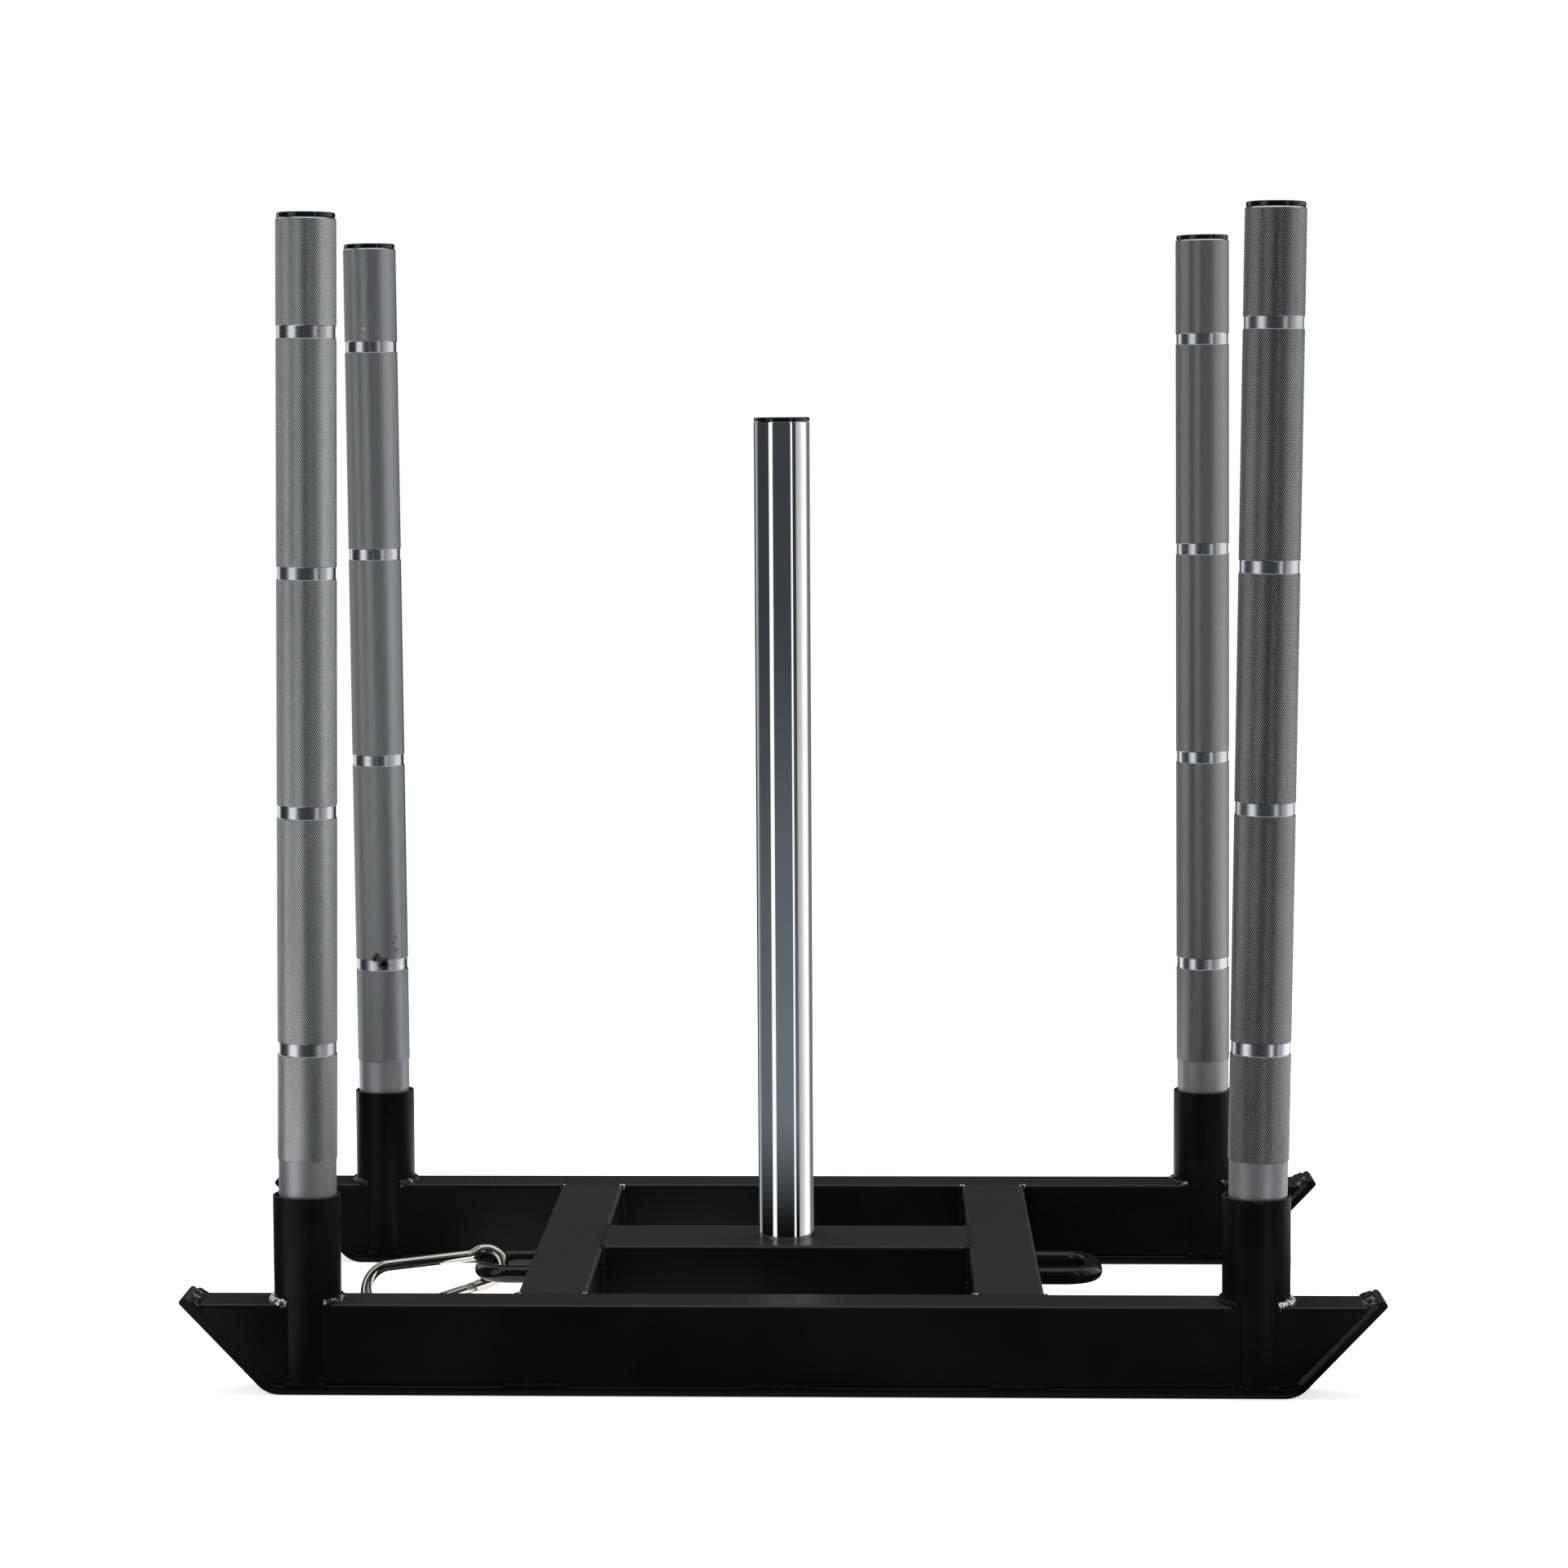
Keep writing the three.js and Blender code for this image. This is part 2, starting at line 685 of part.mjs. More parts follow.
function snapHook() {
  const hook = new THREE.Group();
  hook.add(piece("hook_body", hookBody(), nickel));
  hook.add(piece("hook_gate", hookGate(), nickel));
  hook.add(piece("hook_gate_rivet", hingeRivet(), nickel));
  const pinLength = gateDiameter - 2 * seatGap;
  hook.add(piece("hook_latch_pin", gatePin(latchPin, latchAt, pinLength), nickel));
  hook.add(piece("hook_gate_spring", gateSpring(), zincSteel));
  hook.add(piece("hook_gate_plunger", gatePlunger(), zincSteel));
  const angle = lyingAngle();
  const along = new THREE.Vector3(-Math.cos(angle), 0, -Math.sin(angle));
  const down = new THREE.Vector3(Math.sin(angle), 0, -Math.cos(angle));
  const across = down.multiplyScalar(Math.cos(roll));
  across.addScaledVector(new THREE.Vector3(0, -1, 0), Math.sin(roll));
  const basis = new THREE.Matrix4().makeBasis(along, across, along.clone().cross(across));
  hook.quaternion.setFromRotationMatrix(basis);
  hook.position.set(hookSlack - towApex.rear, 0, towHeight);
  return hook;
}

// One side of the sled: runner, skid plate, and two sockets with their poles.
function runnerSide(side, y) {
  const group = new THREE.Group();
  group.add(piece(`runner_${side}`, runnerTube(), powderCoat));
  group.add(piece(`skid_plate_${side}`, skidPlate(), powderCoat));
  const lean = fullLean * leanShares[side];
  for (const [end, sign] of [["front", 1], ["rear", -1]]) {
    const x = (sign * poleSpacing) / 2;
    const socket = piece(`socket_${end}_${side}`, socketTube(), powderCoat);
    socket.position.x = x;
    group.add(socket);
    const pole = new THREE.Group();
    pole.add(piece(`pole_${end}_${side}`, poleTube(), zincSteel));
    const cap = piece(
      `pole_cap_${end}_${side}`,
      endCap(poleDiameter, poleDiameter - 2 * poleWall),
      blackPlastic,
    );
    cap.position.z = poleLength + seatGap;
    pole.add(cap);
    // The pole leans across its socket, and its foot's low edge keeps the seat gap.
    const footRise = (Math.sin(Math.abs(lean)) * poleDiameter) / 2;
    pole.position.set(x - (Math.tan(lean) * engagement) / 2, 0, poleFoot + footRise);
    pole.rotation.y = lean;
    group.add(pole);
  }
  group.position.y = y;
  return group;
}

function deck() {
  const group = new THREE.Group();
  for (const [end, sign] of [["front", 1], ["rear", -1]]) {
    const bar = boxTube(crossbarWidth, crossbarHeight, crossbarWall, crossbarCorner, 2 * runnerInner);
    bar.rotateZ(Math.PI / 2);
    const crossbar = piece(`crossbar_${end}`, bar, powderCoat);
    crossbar.position.set(sign * crossbarOffset, 0, runnerTop - crossbarHeight / 2);
    group.add(crossbar);
    const loop = piece(`tow_loop_${end}`, towLoop(towApex[end]), powderCoat);
    loop.position.z = towHeight;
    loop.rotation.z = sign > 0 ? 0 : Math.PI;
    group.add(loop);
  }
  group.add(piece("centre_beam", centreBeam(), powderCoat));
  return group;
}

function weightPost() {
  const group = new THREE.Group();
  group.add(piece("post_tube", postTube(), chrome));
  group.add(piece("post_foot_plug", postFootPlug(), zincSteel));
  group.add(piece("post_bolt", postBolt(), zincSteel));
  group.add(piece("post_washer", postWasher(), zincSteel));
  const cap = piece("post_cap", endCap(postDiameter, postDiameter - 2 * postWall), blackPlastic);
  cap.position.z = postTop + seatGap;
  group.add(cap);
  return group;
}

const sled = new THREE.Group();
sled.name = "push_sled";
sled.add(runnerSide("right", -runnerSpacing / 2));
sled.add(runnerSide("left", runnerSpacing / 2));
sled.add(deck());
sled.add(weightPost());
sled.add(snapHook());

export default sled;
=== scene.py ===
"""Visual model of a push sled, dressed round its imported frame. Lengths are in metres."""
import json
import logging
import math
import random
from dataclasses import dataclass, field
from enum import Enum
from typing import Callable, Iterable, Sequence

import bmesh
import bpy
from mathutils import Matrix, Vector


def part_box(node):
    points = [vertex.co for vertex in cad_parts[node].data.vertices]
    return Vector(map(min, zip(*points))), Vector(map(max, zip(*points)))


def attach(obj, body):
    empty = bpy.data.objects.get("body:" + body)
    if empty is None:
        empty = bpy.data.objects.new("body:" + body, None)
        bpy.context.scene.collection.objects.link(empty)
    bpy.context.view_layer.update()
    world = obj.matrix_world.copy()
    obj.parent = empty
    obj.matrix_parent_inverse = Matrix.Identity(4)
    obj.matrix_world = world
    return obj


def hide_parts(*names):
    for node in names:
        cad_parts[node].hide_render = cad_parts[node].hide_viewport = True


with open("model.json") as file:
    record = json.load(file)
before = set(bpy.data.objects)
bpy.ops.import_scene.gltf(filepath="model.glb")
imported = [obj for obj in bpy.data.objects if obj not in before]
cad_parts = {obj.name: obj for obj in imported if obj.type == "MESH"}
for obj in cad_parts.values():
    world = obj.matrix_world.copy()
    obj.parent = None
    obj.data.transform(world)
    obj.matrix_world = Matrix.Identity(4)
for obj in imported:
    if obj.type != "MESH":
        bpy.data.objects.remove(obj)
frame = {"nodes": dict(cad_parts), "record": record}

Object = bpy.types.Object
Material = bpy.types.Material
Node = bpy.types.Node
Socket = bpy.types.NodeSocket
Point = tuple[float, float, float]
Span = tuple[float, float]
Profile = list[tuple[float, float]]  # points (radius, height)
Band = tuple[float, float, float]  # first bearing, last bearing, grey

MM = 0.001
ALONG = 0.9  # a unit vector with more than this of an axis runs along it
QUARTER = math.radians(90)
log = logging.getLogger("push_sled")


class Side(Enum):
    """Side of the sled, seen by someone who pushes it."""

    RIGHT = "right"
    LEFT = "left"

    @property
    def sign(self) -> int:
        """Sign of this side's Y."""
        return -1 if self is Side.RIGHT else 1


class End(Enum):
    """End of the sled. The snap hook hangs at the rear."""

    FRONT = "front"
    REAR = "rear"

    @property
    def sign(self) -> int:
        """Sign of this end's X."""
        return 1 if self is End.FRONT else -1


class Slot(Enum):
    """Material slot of the record."""

    COAT = "powder_coat"
    KNURL = "knurled_steel"
    CHROME = "post_chrome"
    CAP = "end_cap"
    NICKEL = "hook_nickel"
    ZINC = "zinc_fasteners"


def in_mm(*values: float) -> tuple[float, ...]:
    """Give values in millimetres as metres."""
    return tuple(value * MM for value in values)


def box_of(node: str) -> tuple[Vector, Vector]:
    """Give a node's lowest and highest corner."""
    low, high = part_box(node)
    return Vector(low), Vector(high)


# Modelling by operators


def clear_selection() -> None:
    """Leave edit mode and deselect everything."""
    if bpy.context.mode != "OBJECT":
        bpy.ops.object.mode_set(mode="OBJECT")
    bpy.ops.object.select_all(action="DESELECT")


def select_only(*pieces: Object) -> None:
    """Select these pieces alone.

    Args:
        *pieces: The pieces. The first becomes the active one.
    """
    clear_selection()
    for piece in pieces:
        piece.select_set(True)
    bpy.context.view_layer.objects.active = pieces[0]


def modify(piece: Object, kind: str, **settings: object) -> None:
    """Add a modifier to the active piece and apply it.

    Args:
        piece: The active piece.
        kind: Type of the modifier.
        **settings: Its properties.
    """
    modifier = piece.modifiers.new(kind.lower(), kind)
    for key, value in settings.items():
        setattr(modifier, key, value)
    bpy.ops.object.modifier_apply(modifier=modifier.name)


def even_shading(piece: Object, smooth_deg: float = 35.0) -> None:
    """Shade rounded edges smooth and keep the large faces beside them flat.

    Args:
        piece: The active piece.
        smooth_deg: Faces that meet at less than this angle are shaded smooth.
    """
    bpy.ops.object.shade_smooth_by_angle(angle=math.radians(smooth_deg))
    modify(piece, "WEIGHTED_NORMAL", mode="FACE_AREA", weight=100, keep_sharp=True)


class Workpiece:
    """A mesh object that is being shaped, active and in edit mode until it is finished."""

    def __init__(self, name: str) -> None:
        """Take the primitive that was just added.

        Args:
            name: Name of the piece.
        """
        self.piece = bpy.context.object
        self.piece.name = name
        self.piece.data.name = name
        bpy.ops.object.transform_apply(location=True, rotation=True, scale=True)
        bpy.ops.object.mode_set(mode="EDIT")

    @classmethod
    def block(cls, name: str, low: Sequence[float], high: Sequence[float]) -> "Workpiece":
        """Start from a box.

        Args:
            name: Name of the piece.
            low: Lowest corner.
            high: Highest corner.

        Returns:
            The piece in edit mode.
        """
        clear_selection()
        low, high = Vector(low), Vector(high)
        bpy.ops.mesh.primitive_cube_add(size=1, location=(low + high) / 2, scale=high - low)
        return cls(name)

    @classmethod
    def ring(
        cls, name: str, centre: Sequence[float], radius: float, sides: int, turn: Point = (0, 0, 0)
    ) -> "Workpiece":
        """Start from an open ring of vertices.

        Args:
            name: Name of the piece.
            centre: Middle of the ring.
            radius: Radius of the ring.
            sides: Number of vertices.
            turn: Euler angles that turn the ring's axis away from +Z.

        Returns:
            The piece in edit mode, with the ring selected.
        """
        clear_selection()
        bpy.ops.mesh.primitive_circle_add(
            vertices=sides, radius=radius, location=centre, rotation=turn, fill_type="NOTHING"
        )
        return cls(name)

    def pick(self, kind: str, test: Callable[[object], bool]) -> "Workpiece":
        """Select the faces, edges or vertices that pass a test.

        Args:
            kind: "faces", "edges" or "verts".
            test: Says whether an element is selected.

        Returns:
            This piece.
        """
        mode = {"faces": "FACE", "edges": "EDGE", "verts": "VERT"}[kind]
        bpy.ops.mesh.select_mode(type=mode)
        bpy.ops.mesh.select_all(action="DESELECT")
        mesh = bmesh.from_edit_mesh(self.piece.data)
        for element in getattr(mesh, kind):
            element.select_set(bool(test(element)))
        mesh.select_flush_mode()
        bmesh.update_edit_mesh(self.piece.data)
        return self

    def pick_along(self, axis: int) -> "Workpiece":
        """Select the edges that run along an axis, which is 0 for X, 1 for Y and 2 for Z."""
        return self.pick("edges", lambda e: abs(run_of(e).normalized()[axis]) > ALONG)

    def extrude(self, shift: Sequence[float]) -> "Workpiece":
        """Extrude the selection and move it."""
        bpy.ops.mesh.extrude_region_move(TRANSFORM_OT_translate={"value": tuple(shift)})
        return self

    def resize(self, factors: Sequence[float], centre: Sequence[float]) -> "Workpiece":
        """Scale the selection about a point."""
        bpy.ops.transform.resize(value=tuple(factors), center_override=tuple(centre))
        return self

    def spin(
        self, centre: Sequence[float], axis: Sequence[float], angle: float, steps: int
    ) -> "Workpiece":
        """Extrude the selection round an axis.

        Args:
            centre: Point on the axis.
            axis: Direction of the axis.
            angle: Right-handed angle in radians.
            steps: Number of steps.

        Returns:
            This piece, with the far end selected.
        """
        bpy.ops.mesh.spin(steps=steps, angle=-angle, center=tuple(centre), axis=tuple(axis))
        return self

    def bevel(self, width: float, segments: int) -> "Workpiece":
        """Round the selected edges."""
        bpy.ops.mesh.bevel(offset=width, segments=segments, affect="EDGES")
        return self

    def trim(self, point: Sequence[float], normal: Sequence[float]) -> "Workpiece":
        """Cut off what lies beyond a plane, and close the cut.

        Args:
            point: Point on the plane.
            normal: Direction of the side that is cut off.

        Returns:
            This piece.
        """
        bpy.ops.mesh.select_all(action="SELECT")
        bpy.ops.mesh.bisect(
            plane_co=tuple(point), plane_no=tuple(normal), use_fill=True, clear_outer=True
        )
        return self

    def close_holes(self) -> "Workpiece":
        """Fill each open end with one face.

        Returns:
            This piece.
        """
        bpy.ops.mesh.select_mode(type="EDGE")
        bpy.ops.mesh.select_all(action="DESELECT")
        bpy.ops.mesh.select_non_manifold()
        bpy.ops.mesh.edge_face_add()
        return self

    def finish(self, smooth_deg: float = 35.0) -> Object:
        """Merge doubles, turn the faces outwards and leave edit mode.

        Args:
            smooth_deg: Faces that meet at less than this angle are shaded smooth.

        Returns:
            The finished object.
        """
        bpy.ops.mesh.select_mode(type="VERT")
        bpy.ops.mesh.select_all(action="SELECT")
        bpy.ops.mesh.remove_doubles(threshold=1e-6)
        bpy.ops.mesh.normals_make_consistent(inside=False)
        bpy.ops.object.mode_set(mode="OBJECT")
        even_shading(self.piece, smooth_deg)
        return self.piece


def run_of(edge: bmesh.types.BMEdge) -> Vector:
    """Give the vector from one end of an edge to the other."""
    return edge.verts[0].co - edge.verts[1].co


def turned(name: str, profile: Sequence[tuple[float, float]], sides: int = 96) -> Object:
    """Make a turned piece about the Z axis.

    Args:
        name: Name of the piece.
        profile: Points (radius, height) in order. Where the first and the last are not the
            same point, both ends are closed by a face.
        sides: Facets round the axis.

    Returns:
        The piece, standing on its own axis.
    """
    radius, height = profile[0]
    work = Workpiece.ring(name, (0, 0, height), radius, sides)
    for new_radius, new_height in profile[1:]:
        work.extrude((0, 0, new_height - height))
        share = new_radius / radius
        work.resize((share, share, 1), (0, 0, new_height))
        radius, height = new_radius, new_height
    if profile[0] != profile[-1]:
        work.close_holes()
    return work.finish()


def rounded_edge(middle: Span, edge: float, start: float, stop: float, steps: int = 3) -> Profile:
    """Give the points of a rounding in the profile of a turned piece.

    Args:
        middle: Radius and height of the rounding's middle.
        edge: Radius of the rounding.
        start: First bearing in degrees, counted from outwards through upwards.
        stop: Last bearing in degrees.
        steps: Number of steps from the first to the last.

    Returns:
        Points (radius, height).
    """
    radius, height = middle
    bearings = [math.radians(start + (stop - start) * i / steps) for i in range(steps + 1)]
    return [(radius + edge * math.cos(b), height + edge * math.sin(b)) for b in bearings]


def place(piece: Object, matrix: Matrix) -> Object:
    """Move a piece to its place and put the place in its mesh.

    Args:
        piece: The piece.
        matrix: Its place.

    Returns:
        The piece.
    """
    select_only(piece)
    piece.matrix_world = matrix
    bpy.ops.object.transform_apply(location=True, rotation=True, scale=True)
    return piece


def copy_of(piece: Object, name: str) -> Object:
    """Copy a piece with a mesh of its own.

    Args:
        piece: The piece to copy.
        name: Name of the copy.

    Returns:
        The copy.
    """
    twin = piece.copy()
    twin.data = piece.data.copy()
    twin.name = name
    twin.data.name = name
    bpy.context.collection.objects.link(twin)
    return twin


def cut_by(piece: Object, cutters: Iterable[Object]) -> None:
    """Subtract each cutter from a piece and delete it.

    Args:
        piece: The piece to cut.
        cutters: Closed pieces that overlap it.
    """
    for cutter in cutters:
        select_only(piece)
        modify(piece, "BOOLEAN", operation="DIFFERENCE", solver="EXACT", object=cutter)
        bpy.data.objects.remove(cutter)


def joined(name: str, pieces: Sequence[Object]) -> Object:
    """Join pieces into one object.

    Args:
        name: Name of the joined object.
        pieces: The objects.

    Returns:
        The joined object.
    """
    select_only(*pieces)
    bpy.ops.object.join()
    whole = bpy.context.object
    whole.name = name
    whole.data.name = name
    return whole


# Shader graphs


class Graph:
    """A node tree that is being filled."""

    def __init__(self, tree: bpy.types.NodeTree) -> None:
        """Start from an empty tree."""
        self.tree = tree
        tree.nodes.clear()

    def node(self, kind: str, settings: dict | None = None, **inputs: object) -> Node:
        """Add a node.

        Args:
            kind: Type of the node without its ShaderNode prefix.
            settings: Properties of the node.
            **inputs: Values or sockets for its inputs, by name with "_" for a space, or as
                "i0", "i1" and so on by number.

        Returns:
            The new node.
        """
        made = self.tree.nodes.new(kind if kind.startswith("Node") else "ShaderNode" + kind)
        for key, value in (settings or {}).items():
            setattr(made, key, value)
        for key, value in inputs.items():
            numbered = key[0] == "i" and key[1:].isdigit()
            socket = made.inputs[int(key[1:]) if numbered else key.replace("_", " ")]
            if isinstance(value, Socket):
                self.tree.links.new(value, socket)
            else:
                socket.default_value = value
        return made

    def axes(self, source: str) -> Sequence[Socket]:
        """Give X, Y and Z of a texture coordinate, such as Object or Normal."""
        return self.node("SeparateXYZ", Vector=self.node("TexCoord").outputs[source]).outputs

    def math(self, operation: str, first: object, second: object = 0.0, third: object = 0.0) -> Socket:
        """Add a Math node and give its output."""
        return self.node("Math", {"operation": operation}, i0=first, i1=second, i2=third).outputs[0]

    def remap(self, value: object, low: float, high: float, to_low: float, to_high: float) -> Socket:
        """Map a value smoothly from one range to another and give the output."""
        span = {"From_Min": low, "From_Max": high, "To_Min": to_low, "To_Max": to_high}
        return self.node("MapRange", {"interpolation_type": "SMOOTHSTEP"}, Value=value, **span).outputs[0]

    def ramp(self, value: object, low: float, high: float) -> Socket:
        """Rise smoothly from 0 at one value to 1 at another and give the output."""
        return self.remap(value, low, high, 0.0, 1.0)

    def blend(self, share: object, first: object, second: object) -> Socket:
        """Mix two colours, each a socket or its red, green and blue, and give the output."""
        pair = [value if isinstance(value, Socket) else (*value, 1.0) for value in (first, second)]
        return self.node("Mix", {"data_type": "RGBA"}, i0=share, i6=pair[0], i7=pair[1]).outputs[2]

    def bump(self, height: object, distance: float, strength: float) -> Socket:
        """Add a Bump node and give its normal."""
        return self.node("Bump", Height=height, Distance=distance, Strength=strength).outputs[0]


def new_material(name: str) -> tuple[Material, Graph]:
    """Make a material with an empty graph.

    Args:
        name: Name of the material.

    Returns:
        The material and its graph.
    """
    material = bpy.data.materials.new(name)
    material.use_nodes = True
    return material, Graph(material.node_tree)


class MaskGroup:
    """A shader node group that puts out masks, while it is being filled."""

    def __init__(self, name: str, inputs: dict[str, float], outputs: Sequence[str]) -> None:
        """Make a group with value sockets.

        Args:
            name: Name of the group.
            inputs: Names and first values of its inputs.
            outputs: Names of its outputs.
        """
        self.tree = bpy.data.node_groups.new(name, "ShaderNodeTree")
        self.graph = Graph(self.tree)
        for key, value in inputs.items():
            socket = self.tree.interface.new_socket(
                key, in_out="INPUT", socket_type="NodeSocketFloat"
            )
            socket.default_value = value
        for key in outputs:
            self.tree.interface.new_socket(key, in_out="OUTPUT", socket_type="NodeSocketFloat")
        self.given = self.graph.node("NodeGroupInput").outputs
        self.result = self.graph.node("NodeGroupOutput").inputs
        self.here = self.graph.node("TexCoord").outputs["Object"]

    def noise(self, scale: str, detail: float) -> Socket:
        """Give a noise whose scale is one of the inputs."""
        made = self.graph.node("TexNoise", Vector=self.here, Scale=self.given[scale], Detail=detail)
        return made.outputs[0]


def surface_grain() -> bpy.types.NodeTree:
    """Make the group that every finish uses for its fine grain and its broad unevenness.

    Returns:
        A group with the inputs Grain and Blotch, in steps per metre, and with the outputs
        Fine and Broad, each from 0 to 1.
    """
    group = MaskGroup("surface_grain", {"Grain": 900.0, "Blotch": 12.0}, ("Fine", "Broad"))
    group.tree.links.new(group.noise("Grain", 2.0), group.result["Fine"])
    group.tree.links.new(group.noise("Blotch", 3.0), group.result["Broad"])
    return group.tree


def spot_mask() -> bpy.types.NodeTree:
    """Make the group that marks one ragged spot, for scuffs, dirt and rust.

    Returns:
        A group with the inputs X, Y, Z, Radius and Raggedness and the output Mask.
    """
    first = {"X": 0.0, "Y": 0.0, "Z": 0.0, "Radius": 0.01, "Raggedness": 300.0}
    group = MaskGroup("spot_mask", first, ("Mask",))
    graph, given = group.graph, group.given
    spot = graph.node("CombineXYZ", X=given["X"], Y=given["Y"], Z=given["Z"]).outputs[0]
    reach = graph.node("VectorMath", {"operation": "DISTANCE"}, i0=group.here, i1=spot)
    share = graph.math("DIVIDE", reach.outputs["Value"], given["Radius"])
    ragged = graph.math("MULTIPLY_ADD", group.noise("Raggedness", 4.0), 1.4, share)
    group.tree.links.new(graph.remap(ragged, 0.9, 1.5, 1.0, 0.0), group.result["Mask"])
    return group.tree


class Groups:
    """The shader node groups that the finishes share."""

    def __init__(self) -> None:
        """Build each group once."""
        self.grain = surface_grain()
        self.spot = spot_mask()


def grey(level: float) -> Point:
    """Give a neutral colour."""
    return (level, level, level)


@dataclass(frozen=True)
class Spot:
    """A small place of wear or soiling on a surface."""

    place: Point
    radius: float
    colour: Point
    raggedness: float = 300.0


class Finish:
    """Base of the finishes. Each finish has its own shader and the scales of its own grain."""

    name: str
    grain_per_metre: float
    patch_per_metre: float
    groups: Groups

    def build(self) -> Material:
        """Make the material.

        Returns:
            The material with this finish's shader.
        """
        material, graph = new_material(self.name)
        graph.node("OutputMaterial", Surface=self.shade(graph).outputs[0])
        return material

    def shade(self, graph: Graph) -> Node:
        """Give the shader. Each finish says how."""
        raise NotImplementedError

    def grain(self, graph: Graph) -> tuple[Socket, Socket]:
        """Place the grain group at this finish's own scales and give its fine and broad outputs."""
        scales = {"Grain": self.grain_per_metre, "Blotch": self.patch_per_metre}
        return tuple(graph.node("Group", {"node_tree": self.groups.grain}, **scales).outputs)

    def spotted(self, graph: Graph, colour: Socket, spots: Sequence[Spot]) -> Socket:
        """Lay spots over a colour.

        Args:
            graph: The material's graph.
            colour: The clean colour.
            spots: The spots.

        Returns:
            The spotted colour.
        """
        for spot in spots:
            given = dict(zip("XYZ", spot.place), Radius=spot.radius, Raggedness=spot.raggedness)
            mask = graph.node("Group", {"node_tree": self.groups.spot}, **given).outputs["Mask"]
            colour = graph.blend(mask, colour, spot.colour)
        return colour


@dataclass(frozen=True)
class PowderCoat(Finish):
    """Satin black powder coat with a fine orange peel."""

    name: str = "powder_coat"
    dark: Point = (0.0042, 0.0044, 0.0038)
    light: Point = (0.0073, 0.0078, 0.0070)
    roughness: Span = (0.30, 0.42)
    grain_per_metre: float = 700.0
    patch_per_metre: float = 9.0
    peel_depth: float = 0.05 * MM
    gloss: float = 0.09
    # painted sheen, with some dusting: level faces lighter, as if reflecting the light above
    dust_and_sheen: Point = (0.0215, 0.0245, 0.0225)
    # painted highlight: lighter colour on the upper roundings, where the edges catch the light
    worn: Point = (0.036, 0.041, 0.038)
    rubbed: Point = (0.060, 0.066, 0.064)
    scraped: Point = (0.014, 0.0155, 0.015)
    scraped_to: float = 0.0  # height up to which the floor has scraped it
    # Shares of a face's normal along X or Z at which each of painted highlight, painted sheen and rubbing
    # starts and is full.
    worn_up: Span = (0.58, 0.76)
    sheen_up: Span = (0.86, 0.97)
    rubbed_up: Span = (0.25, 0.45)
    rubbed_forward: Span = (0.30, 0.60)
    spots: tuple[Spot, ...] = ()

    def shade(self, graph: Graph) -> Node:
        """Shade the coat, with painted highlight and rubbing on its upper roundings and painted sheen,
        with some dusting, on its level faces.

        Args:
            graph: The material's graph.

        Returns:
            The shader.
        """
        fine, broad = self.grain(graph)
        colour = graph.blend(graph.ramp(broad, 0.3, 0.7), self.dark, self.light)
        forward, _, up = graph.axes("Normal")
        # painted highlight on the upward-tilted roundings
        colour = graph.blend(graph.ramp(up, *self.worn_up), colour, self.worn)
        edge = graph.math(
            "MULTIPLY", graph.ramp(forward, *self.rubbed_forward), graph.ramp(up, *self.rubbed_up)
        )
        colour = graph.blend(edge, colour, self.rubbed)
        # painted sheen on the level faces
        colour = graph.blend(graph.ramp(up, *self.sheen_up), colour, self.dust_and_sheen)
        if self.scraped_to:
            height = graph.axes("Object")[2]
            low = graph.remap(height, 0.5 * self.scraped_to, self.scraped_to, 1.0, 0.0)
            colour = graph.blend(low, colour, self.scraped)
        return graph.node(
            "BsdfPrincipled",
            Base_Color=self.spotted(graph, colour, self.spots),
            Roughness=graph.remap(broad, 0.25, 0.75, *self.roughness),
            Specular_IOR_Level=self.gloss,
            Normal=graph.bump(fine, self.peel_depth, 0.6),
        )


@dataclass(frozen=True)
class WeldBead(Finish):
    """Lumpy weld metal under a thin coat, with painted glints of bright metal on it."""

    name: str = "weld_bead"
    coated: Point = (0.006, 0.0062, 0.006)
    # painted glints: bright metal laid on the bead's high grain
    bare: Point = (0.50, 0.53, 0.57)
    bare_from: float = 0.58
    bare_edge: float = 0.08
    grain_per_metre: float = 150.0
    patch_per_metre: float = 60.0
    roughness: Span = (0.14, 0.30)
    gloss: float = 0.5
    grain_depth: float = 0.3 * MM

    def shade(self, graph: Graph) -> Node:
        """Shade the bead, with painted glints of bright metal where the grain is high.

        Args:
            graph: The material's graph.

        Returns:
            The shader.
        """
        fine, broad = self.grain(graph)
        # painted glints where the grain is high
        bare = graph.ramp(fine, self.bare_from, self.bare_from + self.bare_edge)
        return graph.node(
            "BsdfPrincipled",
            Base_Color=graph.blend(bare, self.coated, self.bare),
            Metallic=bare,
            Roughness=graph.remap(broad, 0.3, 0.7, *self.roughness),
            Specular_IOR_Level=self.gloss,
            Normal=graph.bump(fine, self.grain_depth, 0.3),
        )


